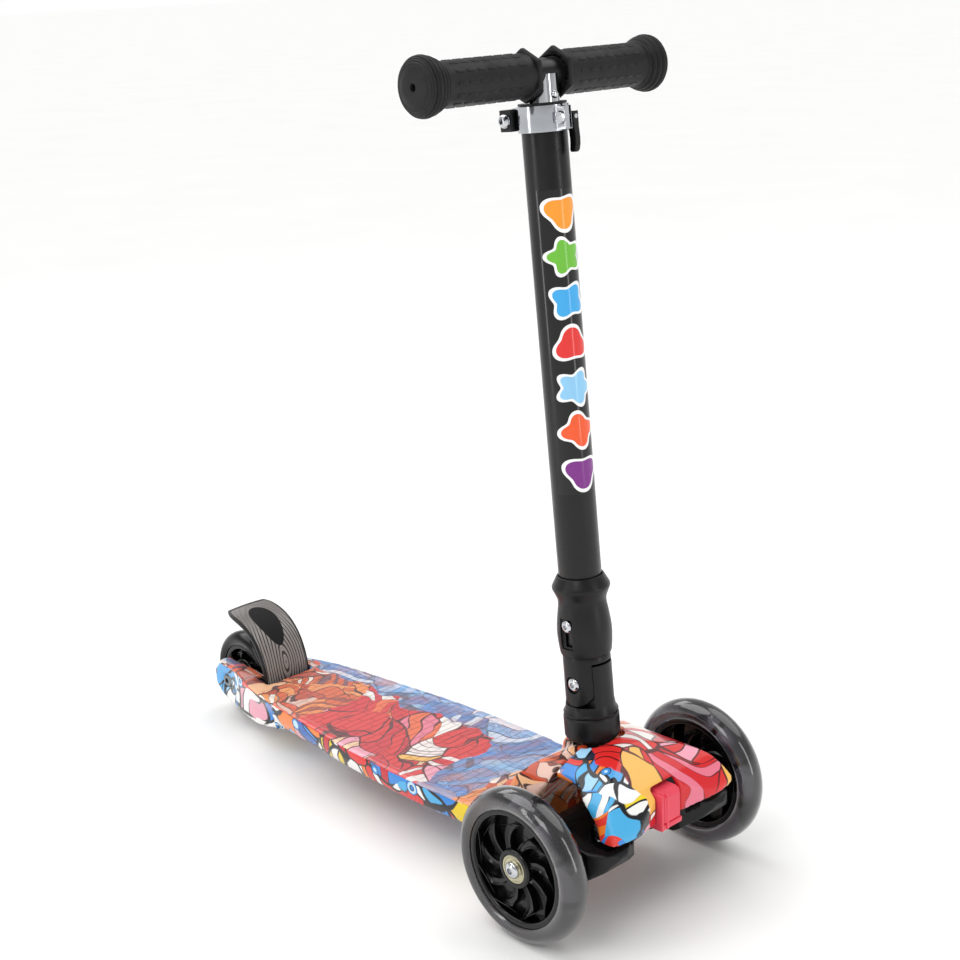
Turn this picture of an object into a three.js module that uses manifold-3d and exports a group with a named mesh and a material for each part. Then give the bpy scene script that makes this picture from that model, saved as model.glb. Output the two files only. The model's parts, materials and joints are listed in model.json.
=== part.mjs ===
// A child's folding kick scooter: two lean-steered wheels in front, one wheel behind, a T-bar that
// telescopes and folds, and a spoon brake over the rear wheel. Millimetres, +Z up, front towards -Y.
import * as THREE from "three";
import { mergeVertices } from "three/addons/utils/BufferGeometryUtils.js";
import Module from "manifold-3d";

const wasm = await Module();
wasm.setup();

// ---- Driving dimensions ----
const fit = 0.3; // gap left between two pieces that touch

const wheelbase = 478; // front axle to rear axle
const halfTrack = 101.3; // middle of the scooter to the middle of a front wheel
const frontWheelRadius = 60;
const rearWheelRadius = 42;
const frontWheelWidth = 24;
const rearWheelWidth = 20;
const tyreDepthFront = 14; // tread to rim
const tyreDepthRear = 12;
const coreInset = 2.5; // a wheel's core ends this far inside its tyre's width
const bearingRadius = 11;
const bearingWidth = 7;
const axleRadius = 4;
const boltHeadRadius = 6.5;
const boltHeadHeight = 4;

const deckTop = 58; // standing surface above the floor
const deckUnderside = 34;
const deckHalfWidth = 67;
const waistHalfWidth = 60; // where the deck meets the head
const tailHalfWidth = 28;
const tailUnderside = 20;
const deckSkin = 4;
const wheelSlotHalf = 15; // half of the slot between the tail arms
const tailReach = 22; // tail arms behind the rear axle
const ribSpacing = 42;

const headTop = 122; // crown of the head above the floor
const coverCrown = 127; // crown of the front cover, ahead of the ring nut
const headHalfWidth = 66;
const headFront = 63; // head ahead of the front axle
const coverSkin = 3;
const archTop = 113; // wheel arch above the floor
const noseHalfWidth = 13;
const noseTop = 104;

const kingTilt = Math.PI / 4; // king bolt rises towards the front
const kingHeight = 45; // king bolt axis above the floor, over the axle
const kingBoltRadius = 5;
const kingBarrelRadius = 14;
const kingBarrelBottom = -8; // the truck's barrel along the king bolt, from the axis over the axle
const kingBarrelTop = 22;
const kingBoltSeat = 48; // under the king bolt's head, along its axis
const springOffset = 38; // each centring spring beside the king bolt
const springRadius = 7;
const springWire = 1.4;
const springLength = 16;
const springSeat = 62;
const springY = -24;
const kingBoltBottom = -18;
const axleStub = halfTrack - frontWheelWidth / 2 - 3; // outer face of the truck's axle stub

const columnFoot = 13.1; // column axis behind the front axle, at floor height
const columnLean = THREE.MathUtils.degToRad(4);
const columnRadius = 16.3;
const columnWall = 2;
const columnTop = 592; // upper end of the outer tube, measured along the column
const stemRadius = 12.7;
const stemWall = 1.5;
const stemBottom = 300;
const barHeight = 616.9; // handlebar axis along the column
const barHalfLength = 118.5;
const barTubeRadius = 11;
const gripRadius = 15.5;
const gripFlangeRadius = 20.8;
const collarFlangeRadius = 18.5; // flange at a grip's inner end
const snapDrop = 14; // snap button below the handlebar's axis

const foldPivot = 167.4; // fold axis along the column
const cheekGap = 10.8; // half of the space between the fork's cheeks
const forkRadius = 18.3;
const cheekRadius = 17;
const tongueReach = 15.6; // tongue above the fold axis
const baseRadius = 18.8;
const spigotRadius = baseRadius - 4; // the part inside the ring nut and the head's boss
const ringNutRadius = 21.5;
const ringNutBottom = 125;
const ringNutHeight = 16;
const pivotBoltRadius = 4;
const sleeveBottom = 189.5;
const sleeveTop = 251.5;
const sleeveTravel = 12;
const tubeBoltHeight = 214.5;
const tubeBoltRadius = 2.9;
const tubeBoltHead = 4.8;

const clampBottom = 578;
const clampHeight = 18;
const clampWall = 2;
const leverLength = 24.5;
const releaseReach = 22; // quick-release bolt ahead of the column axis
const adjusterReach = 20.5; // adjusting screw behind the column axis

const brakePivotY = 418;
const brakePivotZ = 48;
const brakeHalfWidth = 26;
const brakeThickness = 4;
const brakePinRadius = 2.5;
const brakePinReach = brakeHalfWidth + 8; // half of the pin's length

const wide = 90; // half width of a cut that spans the whole deck
const tall = 200; // height of a cut that passes above the whole head

const round = 24; // facets round a turned piece
const fine = 12; // facets round a small turned piece

// ---- Materials ----
function finish(color, roughness, metalness = 0) {
  return new THREE.MeshStandardMaterial({ color, roughness, metalness });
}
const printedPlastic = finish(0xd9643c, 0.25);
const rosePlastic = finish(0xe2556a, 0.4);
const blackPlastic = finish(0x1d1d20, 0.45);
const blackPaint = finish(0x18181a, 0.35, 0.3);
const blackRubber = finish(0x232325, 0.8);
const smokyTyre = finish(0x3a393d, 0.25);
const greyPlastic = finish(0x8d8a8a, 0.4);
const chrome = finish(0xd6d8da, 0.12, 1);
const aluminium = finish(0xc9cbce, 0.25, 1);
const zincSteel = finish(0xb9b49c, 0.35, 1);
const springSteel = finish(0x8f9294, 0.35, 1);

// ---- Solids ----
// A closed geometry as a manifold-3d solid, its faces turned outwards.
function solid(geometry) {
  const bare = geometry.clone();
  bare.deleteAttribute("normal");
  bare.deleteAttribute("uv");
  const merged = mergeVertices(bare, 1e-4);
  const triVerts = new Uint32Array(merged.index.array);
  const vertProperties = merged.attributes.position.array;
  const made = new wasm.Manifold(new wasm.Mesh({ numProp: 3, vertProperties, triVerts }));
  if (made.volume() > 0) return made;
  return new wasm.Manifold(new wasm.Mesh({ numProp: 3, vertProperties, triVerts: triVerts.reverse() }));
}

function join(...solids) {
  return solids.reduce((sum, next) => sum.add(next));
}

function cut(body, ...tools) {
  return tools.reduce((rest, tool) => rest.subtract(tool), body);
}

function common(...solids) {
  return solids.reduce((shared, next) => shared.intersect(next));
}

// A solid of revolution about Z; the profile is [radius, z] points.
function turned(profile, facets = round) {
  const points = profile.map(([radius, z]) => new THREE.Vector2(radius, z));
  return solid(new THREE.LatheGeometry(points, facets).rotateX(Math.PI / 2));
}

function rod(radius, bottom, top, facets = fine) {
  return turned([[0, bottom], [radius, bottom], [radius, top], [0, top]], facets);
}

function pipe(outer, inner, bottom, top, facets = round) {
  const profile = [[inner, bottom], [outer, bottom], [outer, top], [inner, top], [inner, bottom]];
  return turned(profile, facets);
}

function block(x0, x1, y0, y1, z0, z1) {
  const box = new THREE.BoxGeometry(x1 - x0, y1 - y0, z1 - z0);
  return solid(box.translate((x0 + x1) / 2, (y0 + y1) / 2, (z0 + z1) / 2));
}

// The same solid moved by a three.js matrix.
function moved(body, matrix) {
  return solid(geometryOf(body).applyMatrix4(matrix));
}

function shifted(body, x, y, z) {
  return moved(body, new THREE.Matrix4().makeTranslation(x, y, z));
}

// A solid made about Z, laid along X with its +Z end towards +X.
function alongX(body, x = 0, y = 0, z = 0) {
  const turn = new THREE.Matrix4().makeRotationY(Math.PI / 2);
  return moved(body, turn.premultiply(new THREE.Matrix4().makeTranslation(x, y, z)));
}

// A solid made about Z, laid along Y with its +Z end towards -Y.
function alongY(body, x = 0, y = 0, z = 0) {
  const turn = new THREE.Matrix4().makeRotationX(Math.PI / 2);
  return moved(body, turn.premultiply(new THREE.Matrix4().makeTranslation(x, y, z)));
}

function polygon(points) {
  return new THREE.Shape(points.map(([a, b]) => new THREE.Vector2(a, b)));
}

// A closed outline that runs smoothly through its points.
function smooth(points, steps = 40) {
  const curve = new THREE.SplineCurve(points.map(([a, b]) => new THREE.Vector2(a, b)));
  return curve.getPoints(steps).map((p) => [p.x, p.y]);
}

// A circular arc of [a, b] points, counter-clockwise from one angle to another.
function arc(a, b, radius, from, to, steps = 10) {
  const points = [];
  for (let i = 0; i <= steps; i++) {
    const angle = from + ((to - from) * i) / steps;
    points.push([a + radius * Math.cos(angle), b + radius * Math.sin(angle)]);
  }
  return points;
}

// An outline given as [x, y], raised from z0 to z1.
function raised(points, z0, z1) {
  const flat = new THREE.ExtrudeGeometry(polygon(points), { depth: z1 - z0, bevelEnabled: false });
  return solid(flat.translate(0, 0, z0));
}

// An outline given as [y, z], carried across from x0 to x1.
function across(points, x0, x1) {
  const flat = new THREE.ExtrudeGeometry(polygon(points), { depth: x1 - x0, bevelEnabled: false });
  const [x, y, z] = [new THREE.Vector3(1, 0, 0), new THREE.Vector3(0, 1, 0), new THREE.Vector3(0, 0, 1)];
  flat.applyMatrix4(new THREE.Matrix4().makeBasis(y, z, x));
  return solid(flat.translate(x0, 0, 0));
}

// An outline given as [x, z], carried lengthways from y0 to y1.
function lengthways(points, y0, y1) {
  const flat = new THREE.ExtrudeGeometry(polygon(points), { depth: y1 - y0, bevelEnabled: false });
  flat.rotateX(Math.PI / 2);
  return solid(flat.translate(0, y1, 0));
}

// A left half outline completed by its mirror image on +X.
function mirrored(half) {
  const other = half.map(([x, b]) => [-x, b]).reverse();
  return [...half, ...other.filter(([x]) => x !== 0)];
}

function geometryOf(body) {
  const mesh = body.getMesh();
  const positions = new Float32Array(mesh.numVert * 3);
  for (let i = 0; i < mesh.numVert; i++) {
    positions.set(mesh.vertProperties.subarray(i * mesh.numProp, i * mesh.numProp + 3), i * 3);
  }
  const geometry = new THREE.BufferGeometry();
  geometry.setAttribute("position", new THREE.BufferAttribute(positions, 3));
  geometry.setIndex(new THREE.BufferAttribute(new Uint32Array(mesh.triVerts), 1));
  return geometry;
}

function piece(parent, name, body, material) {
  const geometry = geometryOf(body);
  geometry.computeVertexNormals();
  const mesh = new THREE.Mesh(geometry, material);
  mesh.name = name;
  parent.add(mesh);
  return mesh;
}

// A coil spring about Z, made as a round wire swept along its helix.
function coil(radius, wire, bottom, top, turns, stepsPerTurn = 8) {
  class Helix extends THREE.Curve {
    getPoint(t) {
      const angle = t * turns * 2 * Math.PI;
      const z = bottom + wire + t * (top - bottom - 2 * wire);
      return new THREE.Vector3(radius * Math.cos(angle), radius * Math.sin(angle), z);
    }
  }
  const section = polygon(arc(0, 0, wire, 0, 1.5 * Math.PI, 3));
  const path = { steps: Math.round(turns * stepsPerTurn), extrudePath: new Helix() };
  return solid(new THREE.ExtrudeGeometry(section, { ...path, bevelEnabled: false }));
}

// A hexagon nut about Z with a round bore.
function hexNut(corner, bore, bottom, top) {
  return cut(rod(corner, bottom, top, 6), rod(bore, bottom - 1, top + 1));
}

// A bolt along Z with a round head above its shank and a hexagon socket in the head.
function socketBolt(shank, head, headHeight, bottom, seat) {
  const body = turned([
    [0, bottom], [shank, bottom], [shank, seat], [head, seat],
    [head, seat + headHeight * 0.7], [head * 0.8, seat + headHeight], [0, seat + headHeight],
  ], fine);
  return cut(body, rod(head * 0.45, seat + headHeight * 0.4, seat + headHeight + 1, 6));
}

const scooter = new THREE.Group();

// ---- Deck, head and tail ----
const tailEnd = wheelbase + tailReach;
const slotFront = wheelbase - rearWheelRadius - 7;
const headSeam = columnFoot + headTop * Math.tan(columnLean) - 8; // cover and deck meet here

const deckPlanHalf = [
  [0, 0], [-headHalfWidth, 0], [-headHalfWidth + 2, 30],
  ...smooth([
    [-waistHalfWidth, 62], [-deckHalfWidth + 3, 105], [-deckHalfWidth, 170], [-deckHalfWidth + 3, 250],
    [-waistHalfWidth + 2, 312], [-tailHalfWidth - 21, 395], [-tailHalfWidth - 8, 440],
    [-tailHalfWidth, wheelbase - 8],
  ], 18),
  [-tailHalfWidth + 2, tailEnd], [0, tailEnd],
];
const deckSide = [
  [headSeam, deckUnderside], [300, deckUnderside], [350, deckUnderside - 1],
  [400, tailUnderside + 2], [418, tailUnderside], [wheelbase - 4, tailUnderside],
  [wheelbase + 11, tailUnderside + 4], [tailEnd, 34], [tailEnd, 48], [tailEnd - 12, 61],
  [450, deckTop + 2], [430, deckTop], [84, deckTop],
  ...smooth([[74, 62], [62, 78], [50, 97], [38, 110], [26, 117], [headSeam, headTop]], 12),
];
const headSection = [
  [-waistHalfWidth - 4, 0], [-headHalfWidth - 1, 70],
  ...smooth([[-headHalfWidth, 86], [-60, 103], [-46, 113], [-24, 119], [0, headTop]], 12),
];
const archRear = [
  [0, 0], [28, 0], [28, 70],
  ...smooth([[24, 86], [16, 101], [7, archTop - 3], [-2, archTop]], 8),
];
const bossRadius = 24;
const bossBottom = 84;

function columnRod(radius, bottom, top, facets = round) {
  const lean = new THREE.Matrix4().makeRotationX(-columnLean);
  lean.premultiply(new THREE.Matrix4().makeTranslation(0, columnFoot, 0));
  return moved(rod(radius, bottom, top, facets), lean);
}

// The board's sides tuck in towards its lower edge; the head and the tail go straight down.
const boardTuck = 9;
const boardStart = 60;
const boardEnd = 372;
function buildBoardPlan() {
  const outline = mirrored(deckPlanHalf);
  const board = new THREE.ExtrudeGeometry(polygon(outline), {
    depth: headTop - deckTop,
    bevelThickness: deckTop - deckUnderside,
    bevelSize: boardTuck,
    bevelOffset: -boardTuck,
    bevelSegments: 3,
  });
  const tuckedSpan = block(-wide, wide, boardStart - 10, boardEnd + 10, 0, deckTop + 1);
  const middle = common(solid(board.translate(0, 0, deckTop)), tuckedSpan);
  const ends = cut(raised(outline, 0, tall), block(-wide, wide, boardStart, boardEnd, 0, deckTop));
  return join(middle, ends);
}

function buildDeck() {
  const shell = common(
    buildBoardPlan(),
    across(deckSide, -wide, wide),
    lengthways(mirrored(headSection), -10, tailEnd + 20),
  );
  const bossPlan = raised(mirrored(deckPlanHalf), 0, headTop - 1.5);
  const boss = common(columnRod(bossRadius, bossBottom, tall), bossPlan);
  let deck = cut(shell, across(archRear, -wide, wide));
  deck = join(deck, common(boss, block(-30, 30, -30, 60, 0, archTop + 3)));
  deck = cut(
    deck,
    columnRod(spigotRadius + fit, 0, tall),
    block(-wheelSlotHalf, wheelSlotHalf, slotFront, tailEnd + 1, 0, tall),
    alongX(rod(axleRadius + fit, -60, 60), 0, wheelbase, rearWheelRadius),
    alongX(rod(boltHeadRadius + fit, -60, -tailHalfWidth + 4), 0, wheelbase, rearWheelRadius),
    alongX(rod(boltHeadRadius + fit, tailHalfWidth - 4, 60), 0, wheelbase, rearWheelRadius),
    block(-brakeHalfWidth - 1, brakeHalfWidth + 1, brakePivotY - 8, slotFront + 1, brakePivotZ - 9, tall),
    alongX(rod(brakePinRadius + fit, -brakePinReach - fit, brakePinReach + fit), 0, brakePivotY, brakePivotZ),
  );
  // Moulded pockets under the board leave lengthways and cross ribs.
  for (let y = 60; y + ribSpacing < 340; y += ribSpacing) {
    for (const side of [-1, 1]) {
      const [x0, x1] = side < 0 ? [-waistHalfWidth + 8, -2] : [2, waistHalfWidth - 8];
      deck = cut(deck, block(x0, x1, y, y + ribSpacing - 3, 0, deckTop - deckSkin));
    }
  }
  return deck;
}
piece(scooter, "deck", buildDeck(), printedPlastic);

// The front cover: a batwing shell over the truck, open below and round the nose.
const coverPlanHalf = [
  [0, headSeam - fit], [-headHalfWidth, headSeam - fit],
  ...smooth([
    [-headHalfWidth, 2], [-headHalfWidth + 5, -18], [-headHalfWidth + 3, -38], [-headHalfWidth - 3, -48],
  ], 8),
  [-headHalfWidth - 2, -headFront + 3], [-46, -headFront], [-noseHalfWidth - 4, -54], [0, -54],
];
const coverSide = [
  [headSeam - fit, 60], [headSeam - fit, headTop],
  ...smooth([[2, coverCrown - 1], [-14, coverCrown - 1], [-33, 117], [-50, 102], [-headFront + 2, 86]], 10),
  [-headFront, 80], [-56, 66],
];
const coverSection = [
  [-50, 60], [-headHalfWidth - 4, 80],
  ...smooth([[-headHalfWidth - 3, 86], [-60, 103], [-46, 113], [-24, 121], [0, coverCrown]], 12),
];

const lobeBottom = 82; // lower edge of the lobes above the floor
const noseEdge = 76; // the same edge beside the nose

// The cover's inside: each outline of its outer form drawn in by the skin.
function coverRoom() {
  const plan = coverPlanHalf.map(([x, y]) => [
    x * (1 - coverSkin / headHalfWidth),
    y < -30 ? y + coverSkin : y + 5,
  ]);
  const side = coverSide.map(([y, z]) => [y < -30 ? y + coverSkin : y + 2, z - coverSkin - 0.5]);
  const section = mirrored(coverSection).map(([x, z]) => [x - Math.sign(x) * coverSkin, z - coverSkin]);
  return common(
    raised(mirrored(plan), -10, tall),
    across([...side, [-56, -5], [40, -5]], -wide, wide),
    lengthways([...section, [headHalfWidth, -5], [-headHalfWidth, -5]], -80, 40),
  );
}

function buildCover() {
  const shell = common(
    raised(mirrored(coverPlanHalf), 0, tall),
    across(coverSide, -wide, wide),
    lengthways(mirrored(coverSection), -80, 40),
  );
  const archFront = [
    [40, 0], [40, archTop - 6],
    ...smooth([[8, archTop], [-8, archTop - 3], [-22, 103], [-36, 92], [-45, lobeBottom]], 8),
    [-46, 60], [-46, 0],
  ];
  const lowerEdge = [
    [-wide, 0], [-wide, lobeBottom], [-46, lobeBottom - 1], [-noseHalfWidth - 2, noseEdge], [0, noseEdge],
  ];
  return cut(
    shell,
    coverRoom(),
    cut(across(archFront, -wide, wide), block(-50, 50, -80, 60, 0, tall)),
    block(-noseHalfWidth - fit, noseHalfWidth + fit, -80, -20, 0, noseTop + fit),
    columnRod(bossRadius + fit, 0, tall),
    lengthways(mirrored(lowerEdge), -80, 60),
  );
}
piece(scooter, "front_cover", buildCover(), printedPlastic);

// The nose: the king bolt's upper housing, between the cover's two lobes.
const kingAxis = new THREE.Object3D();
kingAxis.position.set(0, 0, kingHeight);
kingAxis.rotation.x = kingTilt;
kingAxis.updateMatrix();

// A solid made along the king bolt's own axis, laid into the scooter's frame.
function onKingAxis(body) {
  return moved(body, kingAxis.matrix);
}

function buildNose() {
  const side = [
    [-10, 66], [-34, 64], [-50, 66], [-headFront + 9, 75], [-headFront + 5, 78],
    [-headFront + 5, noseTop - 4], [-52, noseTop - 0.5], [-40, noseTop - 0.5], [-34, 108], [-10, 110],
  ];
  const nose = common(
    across(side, -noseHalfWidth, noseHalfWidth),
    cut(block(-50, 50, -80, 60, 0, tall), columnRod(bossRadius + fit, 0, tall)),
  );
  return cut(
    nose,
    onKingAxis(rod(kingBoltRadius + fit, -50, 100)),
    onKingAxis(rod(boltHeadRadius + fit, kingBoltSeat, 120)),
    onKingAxis(rod(30, -60, kingBarrelTop + fit)),
  );
}
piece(scooter, "nose_block", buildNose(), rosePlastic);

// The king bolt, its washer and nut, and the two coil springs that centre the truck.
function buildKingBolt() {
  const bolt = socketBolt(kingBoltRadius, boltHeadRadius, boltHeadHeight, kingBoltBottom, kingBoltSeat);
  return onKingAxis(bolt);
}
piece(scooter, "king_bolt", buildKingBolt(), zincSteel);
const washerTop = kingBarrelBottom - fit;
const washerBottom = washerTop - 1.6;
const kingWasher = pipe(9, kingBoltRadius + fit, washerBottom, washerTop, fine);
piece(scooter, "king_washer", onKingAxis(kingWasher), zincSteel);
const nutTop = washerBottom - fit;
const kingNut = hexNut(8, kingBoltRadius + fit, nutTop - 6, nutTop);
piece(scooter, "king_nut", onKingAxis(kingNut), zincSteel);

// The steering head's lower body rises through the head's boss and ends in the fold's tongue.
const column = new THREE.Group();
column.position.y = columnFoot;
column.rotation.x = -columnLean;
scooter.add(column);

const shoulder = foldPivot - cheekRadius - 0.6;
function buildFoldBase() {
  const body = turned([
    [0, bossBottom + 2], [spigotRadius, bossBottom + 2], [spigotRadius, ringNutBottom + ringNutHeight],
    [ringNutRadius - 0.6, ringNutBottom + ringNutHeight + fit],
    [ringNutRadius - 0.6, ringNutBottom + ringNutHeight + 2], [baseRadius, ringNutBottom + ringNutHeight + 5],
    [baseRadius, foldPivot + 40], [0, foldPivot + 40],
  ]);
  const tongueSide = [
    [-30, 0], [30, 0], [30, foldPivot],
    ...arc(0, foldPivot, tongueReach, 0, Math.PI, 12),
    [-30, foldPivot],
  ];
  const tongue = common(
    across(tongueSide, -cheekGap + fit, cheekGap - fit),
    cut(block(-40, 40, -60, 60, 0, 300), block(-40, 40, tongueReach, 60, shoulder, 300)),
  );
  const kept = join(tongue, block(-40, 40, -60, 60, 0, shoulder));
  return cut(common(body, kept), alongX(rod(pivotBoltRadius + fit, -40, 40), 0, 0, foldPivot));
}
piece(column, "fold_base", buildFoldBase(), blackPlastic);

const ringNut = turned([
  [spigotRadius + fit, ringNutBottom], [ringNutRadius - 0.7, ringNutBottom],
  [ringNutRadius, ringNutBottom + 1.5],
  [ringNutRadius, ringNutBottom + ringNutHeight - 1.5], [ringNutRadius - 0.8, ringNutBottom + ringNutHeight],
  [spigotRadius + fit, ringNutBottom + ringNutHeight], [spigotRadius + fit, ringNutBottom],
]);
piece(column, "ring_nut", ringNut, blackPlastic);

// ---- Truck and front wheels ----
const armInner = 26; // arms start beside the head's boss
const armOuter = halfTrack - frontWheelWidth / 2 - 12;
const armHub = 22; // radius of an arm round its axle
const stubRadius = 12;
const boltDepth = 30; // how far an axle bolt's bore runs into its arm
function buildTruck() {
  const armSide = [
    ...arc(-2, frontWheelRadius, armHub, -Math.PI * 0.75, Math.PI / 2, 16),
    [-20, 77], [-40, 74], [-55, 73], [-59, 69], [-52, 59], [-36, 48],
  ];
  const beamSide = [
    ...arc(0, 51, 15, -Math.PI * 0.9, Math.PI * 0.35, 12), [-8, 64], [-14, 58],
  ];
  const armPlan = [
    [-armOuter - 1, 40], [-armOuter - 1, -40], [-armOuter + 8, -54], [-60, -59], [-50, -58],
    [-armInner + 0.5, -42], [-armInner + 0.5, 40],
  ];
  const hollowSide = [[-50, 70], [-30, 56], [-8, 78], [-20, 100], [-50, 100]];
  const springRoom = rod(springRadius + springWire + 1.6, springSeat, 140);
  const boltBottom = armOuter - boltDepth;

  // The left arm: hollowed from above and behind, bored for its axle bolt and seated for its spring.
  const outline = raised(armPlan.map(([x, y]) => [-x, y]).reverse(), 0, tall);
  const leftArm = cut(
    join(
      common(across(armSide, armInner, armOuter), outline),
      alongX(rod(stubRadius, armOuter - 1, axleStub), 0, 0, frontWheelRadius),
      across(beamSide, -1, armInner + 8),
    ),
    across(hollowSide, armInner + 4, armOuter - 14),
    alongX(rod(axleRadius + fit, boltBottom, halfTrack), 0, 0, frontWheelRadius),
    shifted(springRoom, springOffset, springY, 0),
  );
  const rightArm = leftArm.mirror([1, 0, 0]);
  const barrel = onKingAxis(rod(kingBarrelRadius, kingBarrelBottom, kingBarrelTop, round));
  const nutRoom = onKingAxis(rod(kingBarrelRadius - 3, -60, kingBarrelBottom));
  return cut(join(barrel, leftArm, rightArm), nutRoom, onKingAxis(rod(kingBoltRadius + fit, -60, 60)));
}
piece(scooter, "truck", buildTruck(), blackPlastic);

for (const [side, word] of [[-1, "right"], [1, "left"]]) {
  const spring = coil(springRadius, springWire, springSeat + fit, springSeat + fit + springLength, 5);
  piece(scooter, "centring_spring_" + word, shifted(spring, side * springOffset, springY, 0), springSteel);
}

// A tyre about Z with a rounded tread, seated on the rim.
function buildTyre(radius, depth, width) {
  const half = width / 2;
  const rim = radius - depth;
  const shoulderRadius = radius - half * 0.75;
  const section = [
    [rim, -half + 2], [rim + 4, -half + 0.6], [shoulderRadius, -half],
    ...arc(0, 0, half, -Math.PI * 0.4, Math.PI * 0.4, 4).map(([a, b]) => [shoulderRadius + a * 0.75, b]),
    [shoulderRadius, half], [rim + 4, half - 0.6], [rim, half - 2], [rim, -half + 2],
  ];
  return turned(section, 24);
}

// A moulded wheel core about Z: rim, hub and swept spokes that leave windows between them.
function buildCore(rim, width, spokes) {
  const half = width / 2 - coreInset;
  const hub = bearingRadius + 4;
  let core = join(
    pipe(rim - fit, rim - 4, -half, half, 24),
    pipe(hub, bearingRadius + fit, -half, half, fine),
    pipe(hub, axleRadius + 2.5, -half + bearingWidth + fit, half - bearingWidth - fit, fine),
  );
  for (let i = 0; i < spokes; i++) {
    const outline = sweptSpoke(hub - 1.5, rim - 3, 2.6);
    const turn = new THREE.Matrix4().makeRotationZ((i * 2 * Math.PI) / spokes);
    core = join(core, moved(raised(outline, -half + 3, half - 1.5), turn));
  }
  return core;
}

// A spoke outline from one radius to another that sweeps round by a fixed angle as it goes.
function sweptSpoke(inner, outer, halfWidth) {
  const sweep = THREE.MathUtils.degToRad(38);
  const [front, back] = [[], []];
  for (let i = 0; i <= 2; i++) {
    const share = i / 2;
    const radius = inner + (outer - inner) * share;
    const turn = sweep * share * share;
    const spread = halfWidth / radius;
    front.push([radius * Math.cos(turn - spread), radius * Math.sin(turn - spread)]);
    back.push([radius * Math.cos(turn + spread), radius * Math.sin(turn + spread)]);
  }
  return [...front, ...back.reverse()];
}

function buildBearing() {
  const groove = bearingWidth / 2;
  return turned([
    [axleRadius + fit, -groove], [bearingRadius, -groove], [bearingRadius, groove],
    [axleRadius + fit, groove], [axleRadius + fit, -groove],
  ], fine);
}

// A wheel about X: its tyre, core and two bearings.
function addWheel(label, x, y, radius, depth, width, spokes) {
  const wheel = new THREE.Group();
  wheel.position.set(x, y, radius);
  wheel.rotation.y = Math.PI / 2;
  scooter.add(wheel);
  piece(wheel, "tyre_" + label, buildTyre(radius, depth, width), smokyTyre);
  piece(wheel, "wheel_core_" + label, buildCore(radius - depth, width, spokes), blackPlastic);
  const seat = width / 2 - coreInset - bearingWidth / 2;
  for (const [side, word] of [[-1, "right"], [1, "left"]]) {
    piece(wheel, `bearing_${label}_${word}`, buildBearing(), zincSteel).position.z = side * seat;
  }
}
addWheel("front_right", -halfTrack, 0, frontWheelRadius, tyreDepthFront, frontWheelWidth, 9);
addWheel("front_left", halfTrack, 0, frontWheelRadius, tyreDepthFront, frontWheelWidth, 9);
addWheel("rear", 0, wheelbase, rearWheelRadius, tyreDepthRear, rearWheelWidth, 7);

// Front axle bolts run through the wheels into the truck's arms, with a spacer inside each wheel.
for (const [side, word] of [[-1, "right"], [1, "left"]]) {
  const group = new THREE.Group();
  group.position.set(0, 0, frontWheelRadius);
  group.rotation.y = (side * Math.PI) / 2;
  scooter.add(group);
  const outerFace = halfTrack + frontWheelWidth / 2 - coreInset + fit;
  const innerFace = halfTrack - frontWheelWidth / 2 + coreInset - fit;
  const boltEnd = armOuter - boltDepth + 4;
  const bolt = socketBolt(axleRadius, boltHeadRadius, boltHeadHeight, boltEnd, outerFace);
  piece(group, "axle_bolt_" + word, bolt, chrome);
  const spacer = pipe(axleRadius + 2.5, axleRadius + fit, axleStub + fit, innerFace, fine);
  piece(group, "wheel_spacer_" + word, spacer, zincSteel);
}

// Rear axle with its nut, and a spacer on each side of the wheel.
const rearAxleGroup = new THREE.Group();
rearAxleGroup.position.set(0, wheelbase, rearWheelRadius);
rearAxleGroup.rotation.y = -Math.PI / 2;
scooter.add(rearAxleGroup);
const axleSeat = tailHalfWidth - 4 + fit;
const rearAxle = socketBolt(axleRadius, boltHeadRadius, 3.4, -axleSeat - 3, axleSeat);
piece(rearAxleGroup, "rear_axle", rearAxle, zincSteel);
const rearNut = hexNut(boltHeadRadius, axleRadius + fit, -axleSeat - 3.4, -axleSeat);
piece(rearAxleGroup, "rear_axle_nut", rearNut, zincSteel);
for (const [side, word] of [[-1, "left"], [1, "right"]]) {
  const innerFace = rearWheelWidth / 2 - coreInset + fit;
  const spacer = pipe(axleRadius + 2.5, axleRadius + fit, innerFace, wheelSlotHalf - fit, fine);
  const placed = side < 0 ? moved(spacer, new THREE.Matrix4().makeRotationX(Math.PI)) : spacer;
  piece(rearAxleGroup, "rear_spacer_" + word, placed, zincSteel);
}

// ---- Brake ----
// The fender's line in [y, z], from its root at the deck, up and back over the wheel.
const fenderLine = smooth([
  [brakePivotY, brakePivotZ], [brakePivotY, 62], [brakePivotY + 4, 77], [brakePivotY + 11, 90],
  [brakePivotY + 22, 100.5], [brakePivotY + 36, 106], [wheelbase, 109],
], 14);

// The fender's line moved along its normal; a negative offset lies towards the wheel.
function besideFender(offset) {
  const line = new THREE.SplineCurve(fenderLine.map(([a, b]) => new THREE.Vector2(a, b)));
  const points = [];
  for (let i = 0; i <= 14; i++) {
    const at = line.getPointAt(i / 14);
    const along = line.getTangentAt(i / 14);
    points.push([at.x - along.y * offset, at.y + along.x * offset]);
  }
  return points;
}

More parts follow.
